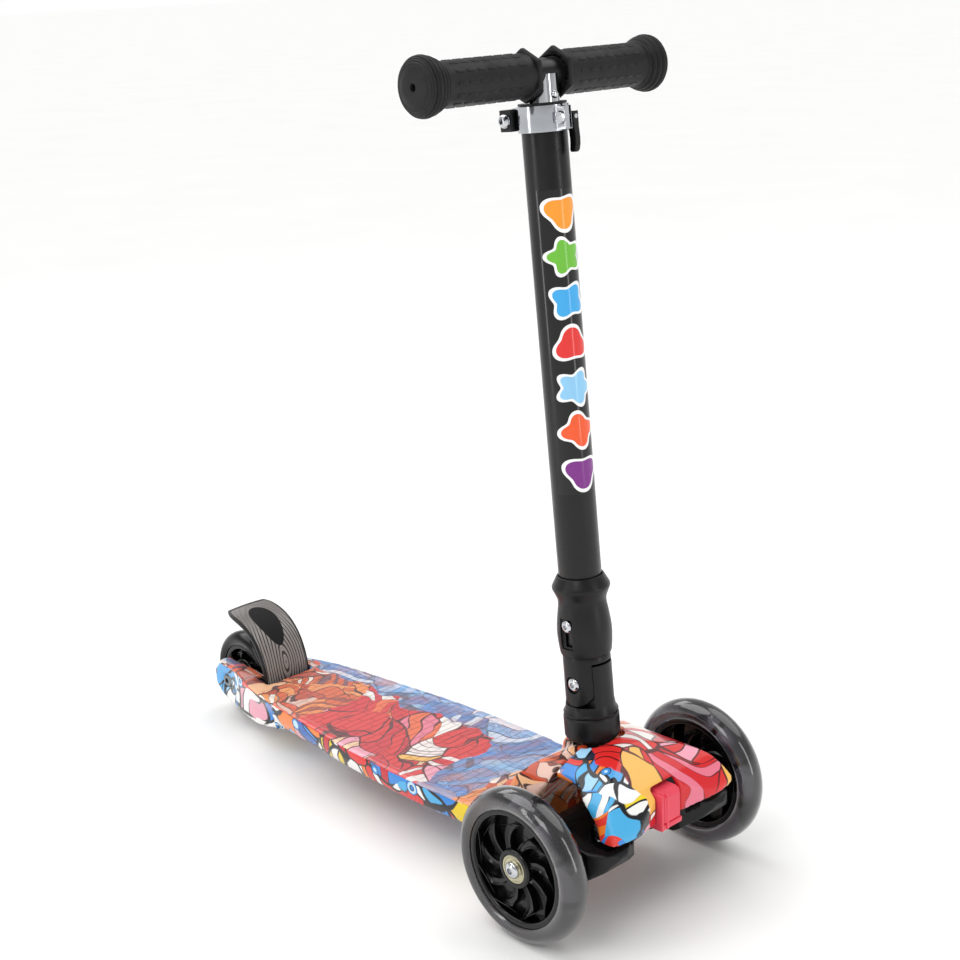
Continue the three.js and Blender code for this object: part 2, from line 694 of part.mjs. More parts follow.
function buildFender() {
  const half = brakeThickness / 2;
  const side = [...besideFender(half), ...besideFender(-half).reverse()];
  const plan = [
    [-brakeHalfWidth, brakePivotY - 20], [-brakeHalfWidth, wheelbase - 20],
    ...arc(-brakeHalfWidth + 14, wheelbase - 13, 14, Math.PI, Math.PI / 2, 6), [0, wheelbase + 2],
  ];
  const plate = common(across(side, -brakeHalfWidth, brakeHalfWidth), raised(mirrored(plan), 0, tall));
  const barrel = rod(brakePinRadius + 3, -brakeHalfWidth, brakeHalfWidth);
  const springRoom = block(-6, 6, brakePivotY - 12, brakePivotY + 5.5, brakePivotZ - 10, brakePivotZ + 6.5);
  return cut(
    join(plate, alongX(barrel, 0, brakePivotY, brakePivotZ)),
    alongX(rod(brakePinRadius + fit, -60, 60), 0, brakePivotY, brakePivotZ),
    springRoom,
  );
}
piece(scooter, "brake_fender", buildFender(), greyPlastic);

// The friction block hangs under the fender, above the tyre.
const padY = wheelbase - 21;
const padTop = 101;
const padSide = [[padY - 12, padTop - 11], [padY + 12, padTop - 6], [padY + 14, tall], [padY - 14, tall]];
const fenderInside = besideFender(-brakeThickness / 2 - fit);
const aboveInside = across([...fenderInside, [wheelbase, tall], [brakePivotY - 9, tall]], -40, 40);
piece(scooter, "brake_pad", cut(across(padSide, -11, 11), aboveInside), blackRubber);
const brakePin = alongX(rod(brakePinRadius, -brakePinReach, brakePinReach), 0, brakePivotY, brakePivotZ);
piece(scooter, "brake_pin", brakePin, zincSteel);
const returnSpring = coil(brakePinRadius + 1.3, 0.9, -5.5, 5.5, 5);
piece(scooter, "brake_spring", alongX(returnSpring, 0, brakePivotY, brakePivotZ), springSteel);

// ---- Folding joint ----
const stemSpigot = columnRadius - columnWall - fit;
const tubeBottom = sleeveBottom + 3;
function buildFork() {
  const body = turned([
    [0, foldPivot - cheekRadius - 5], [forkRadius, foldPivot - cheekRadius - 5],
    [forkRadius, sleeveBottom - fit],
    [columnRadius, sleeveBottom - fit], [columnRadius, tubeBottom - fit], [stemSpigot, tubeBottom - fit],
    [stemSpigot, tubeBottom + 70], [0, tubeBottom + 70],
  ]);
  const cheekEnd = [
    [-40, foldPivot],
    ...arc(0, foldPivot, cheekRadius, Math.PI, 2 * Math.PI, 14),
    [40, foldPivot], [40, 400], [-40, 400],
  ];
  return cut(
    common(body, across(cheekEnd, -40, 40)),
    block(-cheekGap, cheekGap, -40, 40, 0, foldPivot + tongueReach + 1.5),
    alongX(rod(pivotBoltRadius + fit, -40, 40), 0, 0, foldPivot),
    alongX(rod(boltHeadRadius + fit, -40, -pivotSeat), 0, 0, foldPivot),
    alongX(rod(boltHeadRadius + fit, pivotSeat, 40), 0, 0, foldPivot),
    alongX(rod(tubeBoltRadius + fit, -40, 40), 0, 0, tubeBoltHeight),
  );
}
const pivotSeat = forkRadius - 3;
piece(column, "fold_fork", buildFork(), blackPlastic);

// A bolt across the column: its head on the right, its nut on the left.
function addCrossBolt(name, height, shank, head, headHeight, seat) {
  const turn = new THREE.Matrix4().makeRotationY(Math.PI);
  const bolt = moved(socketBolt(shank, head, headHeight, -seat - headHeight, seat + fit), turn);
  piece(column, name, alongX(bolt), chrome).position.z = height;
  const nut = hexNut(head, shank + fit, seat + fit, seat + headHeight);
  piece(column, name + "_nut", alongX(nut), zincSteel).position.z = height;
}
addCrossBolt("pivot_bolt", foldPivot, pivotBoltRadius, 5.6, 3.4, pivotSeat);
const tubeBoltSeat = columnRadius + 1.6;
addCrossBolt("tube_bolt", tubeBoltHeight, tubeBoltRadius, tubeBoltHead, 3.2, tubeBoltSeat);

function buildTube() {
  return cut(
    pipe(columnRadius, columnRadius - columnWall, tubeBottom, columnTop),
    alongX(rod(tubeBoltRadius + fit, -40, 40), 0, 0, tubeBoltHeight),
  );
}
piece(column, "outer_tube", buildTube(), blackPaint);

// The lock sleeve slides up the tube past the tube bolt.
const sleeveInner = columnRadius + fit;
const springPocket = sleeveInner + 2.8; // radius of the room inside the flare
const pocketBottom = sleeveTop - 17.5;
const pocketTop = sleeveTop - 6.5;
function buildSleeve() {
  // Each outer radius is the bore plus the wall there.
  const wall = (thickness, height) => [sleeveInner + thickness, sleeveBottom + height];
  const profile = [
    [sleeveInner, sleeveBottom], wall(2.7, 0), wall(3.3, 3),
    ...smooth([wall(3.9, 8.5), wall(4.3, 17.5), wall(3.7, 26.5), wall(2, 36.5), wall(1.7, 41.5)], 10),
    wall(2.6, 43.5), [sleeveInner + 5.4, sleeveTop - 10.5], [sleeveInner + 5.4, sleeveTop - 8],
    [sleeveInner + 1, sleeveTop], [sleeveInner, sleeveTop],
    [sleeveInner, pocketTop + 2.5], [springPocket, pocketTop], [springPocket, pocketBottom],
    [sleeveInner, pocketBottom - 2.5], [sleeveInner, sleeveBottom],
  ];
  const slotBottom = tubeBoltHeight - sleeveTravel - tubeBoltHead - 1;
  const slotTop = tubeBoltHeight + tubeBoltHead + 1;
  let sleeve = turned(profile);
  for (const side of [-1, 1]) {
    const [x0, x1] = side < 0 ? [-30, -tubeBoltSeat + 0.15] : [tubeBoltSeat - 0.15, 30];
    sleeve = cut(sleeve, block(x0, x1, -tubeBoltHead - 1, tubeBoltHead + 1, slotBottom, slotTop));
  }
  const shankRoom = tubeBoltRadius + 0.8;
  const [low, high] = [tubeBoltHeight - sleeveTravel - shankRoom, tubeBoltHeight + shankRoom];
  return cut(sleeve, block(-30, 30, -shankRoom, shankRoom, low, high));
}
piece(column, "lock_sleeve", buildSleeve(), blackPlastic);
const sleeveSpring = coil(sleeveInner + 1.4, 0.9, pocketBottom + fit, pocketTop - 0.4, 3, 12);
piece(column, "sleeve_spring", sleeveSpring, springSteel);

// ---- Clamp and quick release ----
const clampTop = clampBottom + clampHeight;
const clampMiddle = clampBottom + clampHeight / 2;
const clampOuter = columnRadius + fit + clampWall;
const clampScrewRadius = 2.5;
const earHalf = 5.5;
function buildClamp() {
  const ring = pipe(clampOuter, columnRadius + fit, clampBottom, clampTop);
  const [low, high] = [clampBottom + 1, clampTop - 1];
  const ears = block(-earHalf, earHalf - 3.5, -releaseReach - 4.3, -columnRadius - 0.5, low, high);
  const rearEars = block(-6, 8, columnRadius + 0.5, adjusterReach + 4.5, low, high);
  return cut(
    join(ring, ears, rearEars),
    rod(columnRadius + fit, 0, clampTop + 1, round),
    block(-1, 1, -releaseReach - 10, 0, 0, clampTop + 1),
    alongX(rod(clampScrewRadius + fit, -40, 40), 0, -releaseReach, clampMiddle),
    alongX(rod(clampScrewRadius + fit, -40, 40), 0, adjusterReach, clampMiddle),
  );
}
piece(column, "clamp_ring", buildClamp(), aluminium);

const bushingInner = stemRadius + fit;
const bushing = turned([
  [bushingInner, columnTop - 34], [columnRadius - columnWall - fit, columnTop - 34],
  [columnRadius - columnWall - fit, clampTop + fit], [columnRadius + 1.2, clampTop + fit],
  [columnRadius + 1.2, clampTop + 1.9], [bushingInner, clampTop + 1.9], [bushingInner, columnTop - 34],
]);
piece(column, "tube_bushing", bushing, blackPlastic);

const adjusterBlock = cut(
  block(-17, -6 - fit, adjusterReach - 5, adjusterReach + 6, clampMiddle - 7.6, clampMiddle + 7.6),
  rod(clampOuter + fit, 0, clampTop + 1, round),
  alongX(rod(clampScrewRadius + fit, -40, 40), 0, adjusterReach, clampMiddle),
);
piece(column, "adjuster_block", adjusterBlock, blackPlastic);
const turnedBack = new THREE.Matrix4().makeRotationY(Math.PI);
const adjusterScrew = moved(socketBolt(clampScrewRadius, 5, 5, -7.5, 17 + fit), turnedBack);
piece(column, "adjuster_screw", alongX(adjusterScrew, 0, adjusterReach, clampMiddle), chrome);

const leverPivotX = 6.2;
const leverHalf = 3.5; // half of the lever's width
const leverPinRadius = 1.6;
const releaseSeat = -earHalf - 0.5;
const domedHead = [[0, releaseSeat - 2.5], [4.2, releaseSeat - 1.9], [4.7, releaseSeat], [0, releaseSeat]];
const releaseBolt = join(
  alongX(rod(1.4, releaseSeat - 0.5, leverPivotX - 2), 0, -releaseReach, clampMiddle),
  alongX(turned(domedHead, fine), 0, -releaseReach, clampMiddle),
  alongY(rod(3, -1.4, 1.4), leverPivotX, -releaseReach, clampMiddle),
);
const pinBore = alongY(rod(leverPinRadius + fit, -20, 20), leverPivotX, -releaseReach, clampMiddle);
piece(column, "release_bolt", cut(releaseBolt, pinBore), chrome);
const leverPin = rod(leverPinRadius, -leverHalf - 0.4, leverHalf + 0.4);
piece(column, "lever_pin", alongY(leverPin, leverPivotX, -releaseReach, clampMiddle), chrome);

// The lever hangs down beside the tube; its cam barrel is slotted for the release bolt's eye.
function buildLever() {
  const barrel = alongY(rod(3.6, -leverHalf, leverHalf), leverPivotX, -releaseReach, clampMiddle);
  const low = clampMiddle - leverLength;
  const paddle = lengthways([
    [leverPivotX - 2.6, clampMiddle - 1], [leverPivotX - 1, clampMiddle - 12], [leverPivotX + 0.2, low + 1.5],
    [leverPivotX + 1.6, low], [leverPivotX + 3, low + 1.5], [leverPivotX + 2.8, clampMiddle - 12],
    [leverPivotX + 2.6, clampMiddle],
  ], -releaseReach - leverHalf, -releaseReach + leverHalf);
  const slot = 1.8; // half of the slot that the release bolt's eye sits in
  const eyeRoom = block(-20, 30, -releaseReach - slot, -releaseReach + slot, clampMiddle - 4.2, clampTop);
  return cut(join(barrel, paddle), eyeRoom, pinBore);
}
piece(column, "release_lever", buildLever(), blackPlastic);

// ---- Telescopic stem and handlebar ----
const snapHeight = barHeight - snapDrop;
const snapRadius = 3;
function buildStem() {
  return cut(
    pipe(stemRadius, stemRadius - stemWall, stemBottom, barHeight),
    alongX(rod(barTubeRadius + fit, -60, 60, round), 0, 0, barHeight),
    alongY(rod(snapRadius + fit, 0, 40), 0, 0, snapHeight),
  );
}
piece(column, "stem", buildStem(), chrome);
const snapFlange = stemRadius - stemWall - 1.8; // the button's flange stays inside the stem
const snapButton = turned([
  [0, snapFlange - 1.4], [snapRadius + 1.4, snapFlange - 1.4], [snapRadius + 1.4, snapFlange],
  [snapRadius, snapFlange + 0.2], [snapRadius, stemRadius + 0.7], [snapRadius - 1, stemRadius + 1.9],
  [0, stemRadius + 2.3],
], fine);
piece(column, "snap_button", alongY(snapButton, 0, 0, snapHeight), chrome);

const gripEnd = barHalfLength - 5;
const barBore = barTubeRadius - 1.5;
const bar = pipe(barTubeRadius, barBore, -gripEnd, gripEnd);
piece(column, "crossbar", alongX(bar, 0, 0, barHeight), blackPaint);

// A grip about Z from its inner flange to its outer one, with ribs beside the outer flange.
function buildGrip() {
  const bore = barTubeRadius + fit;
  const [inner, outer] = [13, gripEnd];
  const ribs = [];
  for (let z = outer - 14; z < outer - 4; z += 4.6) {
    const share = Math.min(1, (z - outer + 17) / 9);
    const radius = THREE.MathUtils.lerp(gripRadius + 1.5, gripFlangeRadius, share);
    ribs.push([radius - 1, z], [radius, z + 1], [radius, z + 3], [radius - 1, z + 4]);
  }
  return turned([
    [bore, inner], [collarFlangeRadius - 1, inner], [collarFlangeRadius, inner + 1],
    [collarFlangeRadius - 1, inner + 4.5], [gripRadius, inner + 7],
    [gripRadius + 0.3, (inner + outer) / 2], [gripRadius, outer - 17], ...ribs,
    [gripFlangeRadius - 1, outer], [bore, outer], [bore, inner],
  ], 16);
}
for (const [side, word] of [[-1, "right"], [1, "left"]]) {
  const turn = new THREE.Matrix4().makeRotationY((side * Math.PI) / 2);
  turn.premultiply(new THREE.Matrix4().makeTranslation(0, 0, barHeight));
  piece(column, "grip_" + word, moved(buildGrip(), turn), blackRubber);
  const plug = turned([
    [0, gripEnd - 14], [barBore - fit, gripEnd - 14], [barBore - fit, gripEnd + fit],
    [gripFlangeRadius - 1, gripEnd + fit], [gripFlangeRadius - 1.6, gripEnd + 2],
    [gripFlangeRadius - 6, gripEnd + 4], [4, barHalfLength], [2, barHalfLength - 1], [0, barHalfLength - 1],
  ], 16);
  piece(column, "bar_plug_" + word, moved(plug, turn), blackRubber);
}

// The origin lies on the floor under the middle of the whole scooter.
const extent = new THREE.Box3().setFromObject(scooter);
const middle = extent.getCenter(new THREE.Vector3());
scooter.position.set(-middle.x, -middle.y, -extent.min.z);

export default scooter;
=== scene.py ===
"""A child's folding three-wheel kick scooter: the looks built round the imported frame, in metres."""

import json
import math

import bmesh
import bpy
from mathutils import Matrix, Vector


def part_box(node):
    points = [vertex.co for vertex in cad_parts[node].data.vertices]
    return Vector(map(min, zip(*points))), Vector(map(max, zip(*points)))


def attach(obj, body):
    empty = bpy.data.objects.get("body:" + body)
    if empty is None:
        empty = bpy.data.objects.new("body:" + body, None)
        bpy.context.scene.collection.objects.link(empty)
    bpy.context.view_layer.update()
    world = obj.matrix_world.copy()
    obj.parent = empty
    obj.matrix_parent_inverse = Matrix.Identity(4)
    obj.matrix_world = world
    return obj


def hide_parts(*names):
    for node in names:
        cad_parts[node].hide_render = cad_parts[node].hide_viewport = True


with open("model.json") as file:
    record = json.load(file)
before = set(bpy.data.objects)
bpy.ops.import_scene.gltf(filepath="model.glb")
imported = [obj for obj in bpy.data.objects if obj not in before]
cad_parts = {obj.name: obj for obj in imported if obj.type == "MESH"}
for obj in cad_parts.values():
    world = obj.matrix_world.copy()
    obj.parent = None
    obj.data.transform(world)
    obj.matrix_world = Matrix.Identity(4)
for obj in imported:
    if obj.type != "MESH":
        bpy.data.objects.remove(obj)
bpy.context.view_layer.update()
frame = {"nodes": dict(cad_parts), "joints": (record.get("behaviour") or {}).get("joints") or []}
MM = 0.001

# ---- Where things are, from the frame ----


def centre(node):
    low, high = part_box(node)
    return (low + high) / 2


FRONT_AXLE = (centre("tyre_front_left") + centre("tyre_front_right")) / 2
REAR_AXLE = centre("tyre_rear")
FLOOR_Y = FRONT_AXLE.y  # the part's own drawing starts at the front axle, on the floor

# The column leans back; heights along it are measured from where its axis meets the floor.
lean = Vector(next(j["axis"] for j in frame["joints"] if j["name"] == "bar_height"))
tube_middle = centre("outer_tube")
COLUMN = Matrix.Translation(tube_middle - lean * (tube_middle.z / lean.z)) @ Matrix((
    (1, 0, 0, 0), (0, lean.z, lean.y, 0), (0, -lean.y, lean.z, 0), (0, 0, 0, 1),
))
ALONG_X = Matrix.Rotation(math.pi / 2, 4, "Y")  # a piece made about Z, laid along X
TO_RIGHT = Matrix.Rotation(-math.pi / 2, 4, "Y")  # laid with its top towards -X
FORWARD = Matrix.Rotation(math.pi / 2, 4, "X")  # laid with its top towards -Y


def at(x, y, z):
    """A place in millimetres, measured from the floor under the front axle."""
    return Matrix.Translation((x * MM, FLOOR_Y + y * MM, z * MM))


def up_column(x, y, height):
    """A place in millimetres in the column's own frame."""
    return COLUMN @ Matrix.Translation((x * MM, y * MM, height * MM))


# ---- Modelling ----


def clear_selection():
    if bpy.context.mode != "OBJECT":
        bpy.ops.object.mode_set(mode="OBJECT")
    bpy.ops.object.select_all(action="DESELECT")


def pick(piece):
    clear_selection()
    piece.select_set(True)
    bpy.context.view_layer.objects.active = piece


def seat(piece, place):
    """Puts a piece where it belongs and writes that place into its mesh."""
    piece.matrix_world = place @ piece.matrix_world
    pick(piece)
    bpy.ops.object.transform_apply(location=True, rotation=True, scale=True)
    return piece


def turned(name, profile, facets=96, sweep=2 * math.pi):
    """Turns a profile of (radius, height) in millimetres about Z, as on a lathe."""
    clear_selection()
    bpy.ops.mesh.primitive_plane_add(size=MM, calc_uvs=False, location=(0, 0, 0))
    piece = bpy.context.active_object
    piece.name = piece.data.name = name
    bpy.ops.object.mode_set(mode="EDIT")
    bpy.ops.mesh.select_mode(type="VERT")
    bpy.ops.mesh.select_all(action="SELECT")
    bpy.ops.mesh.merge(type="CENTER")
    bpy.ops.transform.translate(value=(profile[0][0] * MM, 0, profile[0][1] * MM))
    for (r0, z0), (r1, z1) in zip(profile, profile[1:]):
        step = ((r1 - r0) * MM, 0, (z1 - z0) * MM)
        bpy.ops.mesh.extrude_vertices_move(TRANSFORM_OT_translate={"value": step})
    bpy.ops.mesh.select_all(action="SELECT")
    bpy.ops.mesh.spin(steps=facets, angle=sweep, center=(0, 0, 0), axis=(0, 0, 1))
    bpy.ops.mesh.select_all(action="SELECT")
    bpy.ops.mesh.remove_doubles(threshold=2e-6)
    bpy.ops.mesh.normals_make_consistent(inside=False)
    bpy.ops.object.mode_set(mode="OBJECT")
    return piece


def rod(name, radius, bottom, top, facets=64):
    clear_selection()
    bpy.ops.mesh.primitive_cylinder_add(
        vertices=facets, radius=radius * MM, depth=(top - bottom) * MM, calc_uvs=False,
        location=(0, 0, (top + bottom) / 2 * MM),
    )
    piece = bpy.context.active_object
    piece.name = piece.data.name = name
    return seat(piece, Matrix.Identity(4))


def block(name, low, high):
    clear_selection()
    middle = [(a + b) / 2 * MM for a, b in zip(low, high)]
    extent = [(b - a) * MM for a, b in zip(low, high)]
    bpy.ops.mesh.primitive_cube_add(size=1, calc_uvs=False, location=middle, scale=extent)
    piece = bpy.context.active_object
    piece.name = piece.data.name = name
    return seat(piece, Matrix.Identity(4))


def grow(piece, facing, steps):
    """Extrudes the face that looks one way, step by step: (move in mm, scale across X, Y, Z)."""
    pick(piece)
    bpy.ops.object.mode_set(mode="EDIT")
    bpy.ops.mesh.select_mode(type="FACE")
    bpy.ops.mesh.select_all(action="DESELECT")
    mesh = bmesh.from_edit_mesh(piece.data)
    facing = Vector(facing)
    end = max(mesh.faces, key=lambda f: f.normal.dot(facing) * 1e-3 + f.calc_center_median().dot(facing))
    end.select = True
    bmesh.update_edit_mesh(piece.data)
    middle = end.calc_center_median()
    for move, scale in steps:
        middle = middle + Vector(move) * MM
        bpy.ops.mesh.extrude_region_move(TRANSFORM_OT_translate={"value": [m * MM for m in move]})
        bpy.ops.transform.resize(value=scale, center_override=middle)
    bpy.ops.object.mode_set(mode="OBJECT")
    return piece


def carve(piece, *tools, how="DIFFERENCE"):
    """Cuts each tool out of a piece (or joins it on) and throws the tool away."""
    for tool in tools:
        pick(piece)
        cutter = piece.modifiers.new("cut", "BOOLEAN")
        cutter.operation, cutter.solver, cutter.object = how, "EXACT", tool
        bpy.ops.object.modifier_apply(modifier=cutter.name)
        bpy.data.objects.remove(tool)
    return piece


def soften(piece, width, segments=2, angle=28, smooth=40):
    """Rounds a piece's edges and shades it smooth up to an angle."""
    pick(piece)
    if width:
        edge = piece.modifiers.new("edges", "BEVEL")
        edge.width, edge.segments, edge.limit_method = width * MM, segments, "ANGLE"
        edge.angle_limit, edge.use_clamp_overlap, edge.harden_normals = math.radians(angle), True, False
        bpy.ops.object.modifier_apply(modifier=edge.name)
    bpy.ops.object.shade_smooth_by_angle(angle=math.radians(smooth))
    return piece


def merge(name, *pieces):
    """Several bodies as one piece."""
    clear_selection()
    for piece in pieces:
        piece.select_set(True)
    bpy.context.view_layer.objects.active = pieces[0]
    bpy.ops.object.join()
    pieces[0].name = pieces[0].data.name = name
    return pieces[0]


def moulded(name, node, cell, passes):
    """A moulding in the shape of a frame node, remeshed finely and relaxed so its facets flow."""
    piece = bpy.data.objects.new(name, frame["nodes"][node].data.copy())
    bpy.context.scene.collection.objects.link(piece)
    pick(piece)
    bpy.ops.object.mode_set(mode="EDIT")
    bpy.ops.mesh.select_all(action="SELECT")
    bpy.ops.mesh.remove_doubles(threshold=1e-5)
    bpy.ops.object.mode_set(mode="OBJECT")
    skin = piece.modifiers.new("skin", "REMESH")
    skin.mode, skin.voxel_size, skin.adaptivity = "VOXEL", cell * MM, 0
    bpy.ops.object.modifier_apply(modifier=skin.name)
    flow = piece.modifiers.new("flow", "SMOOTH")
    flow.factor, flow.iterations = 0.5, passes
    bpy.ops.object.modifier_apply(modifier=flow.name)
    bpy.ops.object.shade_smooth()
    return piece


# ---- Materials ----


def paint(colour):
    """An sRGB hex colour as linear values."""
    parts = [int(colour[i:i + 2], 16) / 255 for i in (1, 3, 5)]
    return [c / 12.92 if c <= 0.04045 else ((c + 0.055) / 1.055) ** 2.4 for c in parts] + [1]


def add(tree, kind, inputs=(), stops=(), **settings):
    """Adds a node: settings, ramp stops, and inputs as values or links. A node given stands for its first output."""
    made = tree.nodes.new("ShaderNode" + kind)
    for name, value in settings.items():
        setattr(made, name, value)
    for i, (position, colour) in enumerate(stops):
        ramp = made.color_ramp.elements
        stop = ramp[i] if i < 2 else ramp.new(position)
        stop.position, stop.color = position, paint(colour)
    for socket, value in dict(inputs).items():
        value = value.outputs[0] if isinstance(value, bpy.types.Node) else value
        if isinstance(value, bpy.types.NodeSocket):
            tree.links.new(value, made.inputs[socket])
        else:
            made.inputs[socket].default_value = value
    return made


def new_finish(name, **values):
    """A material with its shader's plain values set: (tree, shader, object coordinates)."""
    material = bpy.data.materials.new(name)
    material.use_nodes = True
    tree = material.node_tree
    shader = tree.nodes["Principled BSDF"]
    for socket, value in values.items():
        shader.inputs[socket.replace("_", " ")].default_value = value
    where = add(tree, "TexCoord").outputs["Object"]
    return material, tree, shader, where


def grained(name, light, dark, grain, low, high, depth, **values):
    """A material whose colour and roughness drift over centimetres and whose skin has a fine grain (mm)."""
    material, tree, shader, where = new_finish(name, **values)
    drift = add(tree, "TexNoise", {"Vector": where, "Scale": 22, "Detail": 3})
    shade = add(tree, "ValToRGB", {"Fac": drift.outputs["Fac"]}, [(0.35, dark), (0.65, light)])
    wear = add(tree, "TexNoise", {"Vector": where, "Scale": 90, "Detail": 4, "Roughness": 0.6})
    gloss = add(tree, "MapRange", {
        "Value": wear.outputs["Fac"], "From Min": 0.3, "From Max": 0.7, "To Min": low, "To Max": high,
    })
    skin = add(tree, "TexNoise", {"Vector": where, "Scale": 1000 / grain, "Detail": 2})
    relief = add(tree, "Bump", {"Height": skin.outputs["Fac"], "Strength": 0.5, "Distance": depth * MM})
    tree.links.new(shade.outputs["Color"], shader.inputs["Base Color"])
    tree.links.new(gloss.outputs["Result"], shader.inputs["Roughness"])
    tree.links.new(relief.outputs["Normal"], shader.inputs["Normal"])
    return material


# Glass-filled nylon, injection moulded in a spark-eroded tool: a deep soft black with a fine grain.
moulded_nylon = grained("moulded_black_nylon", "#111113", "#0a0a0b", 0.9, 0.3, 0.44, 0.03, Specular_IOR_Level=0.3)
# ABS from a polished tool: near-black with sharp highlights.
polished_abs = grained("polished_black_abs", "#0b0b0d", "#060607", 2.5, 0.1, 0.2, 0.008, Specular_IOR_Level=0.35)
# Powder coat baked on steel: satin black with a faint orange peel.
powder_coat = grained("satin_black_powder_coat", "#0f0f11", "#0a0a0b", 2.2, 0.26, 0.34, 0.012, Specular_IOR_Level=0.35)
# Thermoplastic rubber, moulded: dull black, slightly greasy where hands rub it.
grip_rubber = grained("moulded_grip_rubber", "#111112", "#09090a", 0.8, 0.42, 0.6, 0.04, Specular_IOR_Level=0.3)
# Chrome plating on turned steel: mirror bright, lightly smudged.
chrome_plate = grained("chrome_plated_steel", "#cfd0d3", "#b9bbbf", 5, 0.05, 0.13, 0.004, Metallic=1)
# Aluminium, cast and polished on a wheel.
polished_aluminium = grained("polished_cast_aluminium", "#c2c4c8", "#a7aaaf", 1.6, 0.12, 0.22, 0.01, Metallic=1)
# Steel with a yellow zinc plating, as on cheap bearings: warm, a little iridescent.
yellow_zinc = grained("yellow_zinc_plated_steel", "#c3bda0", "#9c967f", 3, 0.2, 0.34, 0.01, Metallic=1)
# Steel with a clear zinc plating: grey and slightly cloudy.
clear_zinc = grained("clear_zinc_plated_steel", "#a4a8ac", "#85898d", 2, 0.24, 0.4, 0.01, Metallic=1)
# Drawn spring wire, oiled.
spring_wire = grained("drawn_spring_wire", "#808386", "#606366", 1.2, 0.28, 0.4, 0.01, Metallic=1)
# Polyurethane cast round the core and tinted with smoke: dark in its depth, clear at its thin edge.
smoked_urethane = grained("smoked_cast_polyurethane", "#47444a", "#3b383e", 30, 0.16, 0.22, 0.004,
                          Transmission_Weight=0.93, IOR=1.5, Coat_Weight=1.0, Coat_Roughness=0.04)
# The rear tyre's polyurethane is filled, so it is black and only glossy.
filled_urethane = grained("black_polyurethane", "#0d0d0f", "#080809", 6, 0.14, 0.22, 0.004, Specular_IOR_Level=0.35)
# Coloured ABS, moulded: warm red with a satin skin.
rose_abs = grained("rose_red_abs", "#e8485c", "#dc3c50", 1.2, 0.3, 0.42, 0.02, Specular_IOR_Level=0.35)
# Styrene-butadiene friction pad.
pad_rubber = grained("black_pad_rubber", "#0c0c0d", "#070708", 0.7, 0.6, 0.75, 0.05, Specular_IOR_Level=0.25)


def over(tree, mask, under, top):
    """One colour laid over another where a mask is white."""
    return add(tree, "Mix", {0: mask, 6: under, 7: top}, data_type="RGBA").outputs[2]


def graffiti(tree, where, size, palettes, seed, line=0.03, bands=1.3, pen="#131218"):
    """Bold comic shapes: bent cells of about that size in mm, some cut into curved bands, most of them outlined."""
    moved = add(tree, "VectorMath", {0: where, 1: (seed, seed * 0.7, seed * 0.4)}, operation="ADD").outputs[0]
    swirl = add(tree, "TexNoise", {"Vector": moved, "Scale": 620 / size, "Detail": 1.2, "Roughness": 0.4})
    bend = add(tree, "VectorMath", {0: swirl.outputs["Color"], 1: (0.5, 0.5, 0.5)}, operation="SUBTRACT")
    sway = (size * MM * 2.1,) * 3
    bent = add(tree, "VectorMath", {0: bend, 1: sway, 2: moved}, operation="MULTIPLY_ADD").outputs[0]
    scale = 1000 / size
    cells = add(tree, "TexVoronoi", {"Vector": bent, "Scale": scale}, feature="F1")
    edge = add(tree, "TexVoronoi", {"Vector": bent, "Scale": scale}, feature="DISTANCE_TO_EDGE")
    dice = add(tree, "SeparateColor", {0: cells.outputs["Color"]})
    heading = add(tree, "VectorMath", {0: cells.outputs["Color"], 1: (0.5, 0.5, 0.5)}, operation="SUBTRACT")
    heading = add(tree, "VectorMath", {0: heading}, operation="NORMALIZE")
    run = add(tree, "VectorMath", {0: bent, 1: heading}, operation="DOT_PRODUCT")
    stripes = add(tree, "Math", {0: run.outputs["Value"], 1: bands * scale}, operation="MULTIPLY")
    phase = add(tree, "Math", {0: stripes}, operation="FRACT")
    share = 0.58  # of a stripe, in the cell's first colour
    first = add(tree, "ValToRGB", {"Fac": dice}, palettes[0])
    second = add(tree, "ValToRGB", {"Fac": dice.outputs[1]}, palettes[1])
    first.color_ramp.interpolation = second.color_ramp.interpolation = "CONSTANT"
    half = add(tree, "Math", {0: phase, 1: share}, operation="GREATER_THAN")
    banded = add(tree, "Math", {0: dice.outputs[2], 1: 0.3}, operation="GREATER_THAN")
    split = add(tree, "Math", {0: half, 1: banded}, operation="MULTIPLY")
    fill = over(tree, split, first, second)
    # A line is drawn along each band's border and round each cell, pressed harder in some places than in others.
    fold = add(tree, "Math", {0: phase, 1: share}, operation="SUBTRACT")
    gap = add(tree, "Math", {0: fold}, operation="ABSOLUTE")
    ends = add(tree, "Math", {0: phase, 1: 0.5, 2: 0.5}, operation="PINGPONG")
    near = add(tree, "Math", {0: gap, 1: ends}, operation="MINIMUM")
    plain = add(tree, "Math", {0: 1.0, 1: banded}, operation="SUBTRACT")
    near = add(tree, "Math", {0: near, 1: plain}, operation="ADD")
    rim = add(tree, "Math", {0: edge.outputs["Distance"], 1: 1.1}, operation="MULTIPLY")
    near = add(tree, "Math", {0: near, 1: rim}, operation="MINIMUM")
    press = add(tree, "TexNoise", {"Vector": moved, "Scale": 900 / size, "Detail": 1})
    reach = add(tree, "MapRange", {
        "Value": press.outputs["Fac"], "From Min": 0.35, "From Max": 0.6, "To Min": -0.4 * line, "To Max": line * 1.4,
    })
    past = add(tree, "Math", {0: near, 1: reach}, operation="SUBTRACT")
    ink = add(tree, "MapRange", {"Value": past, "From Max": 0.02, "To Min": 1, "To Max": 0})
    return over(tree, ink, fill, paint(pen))


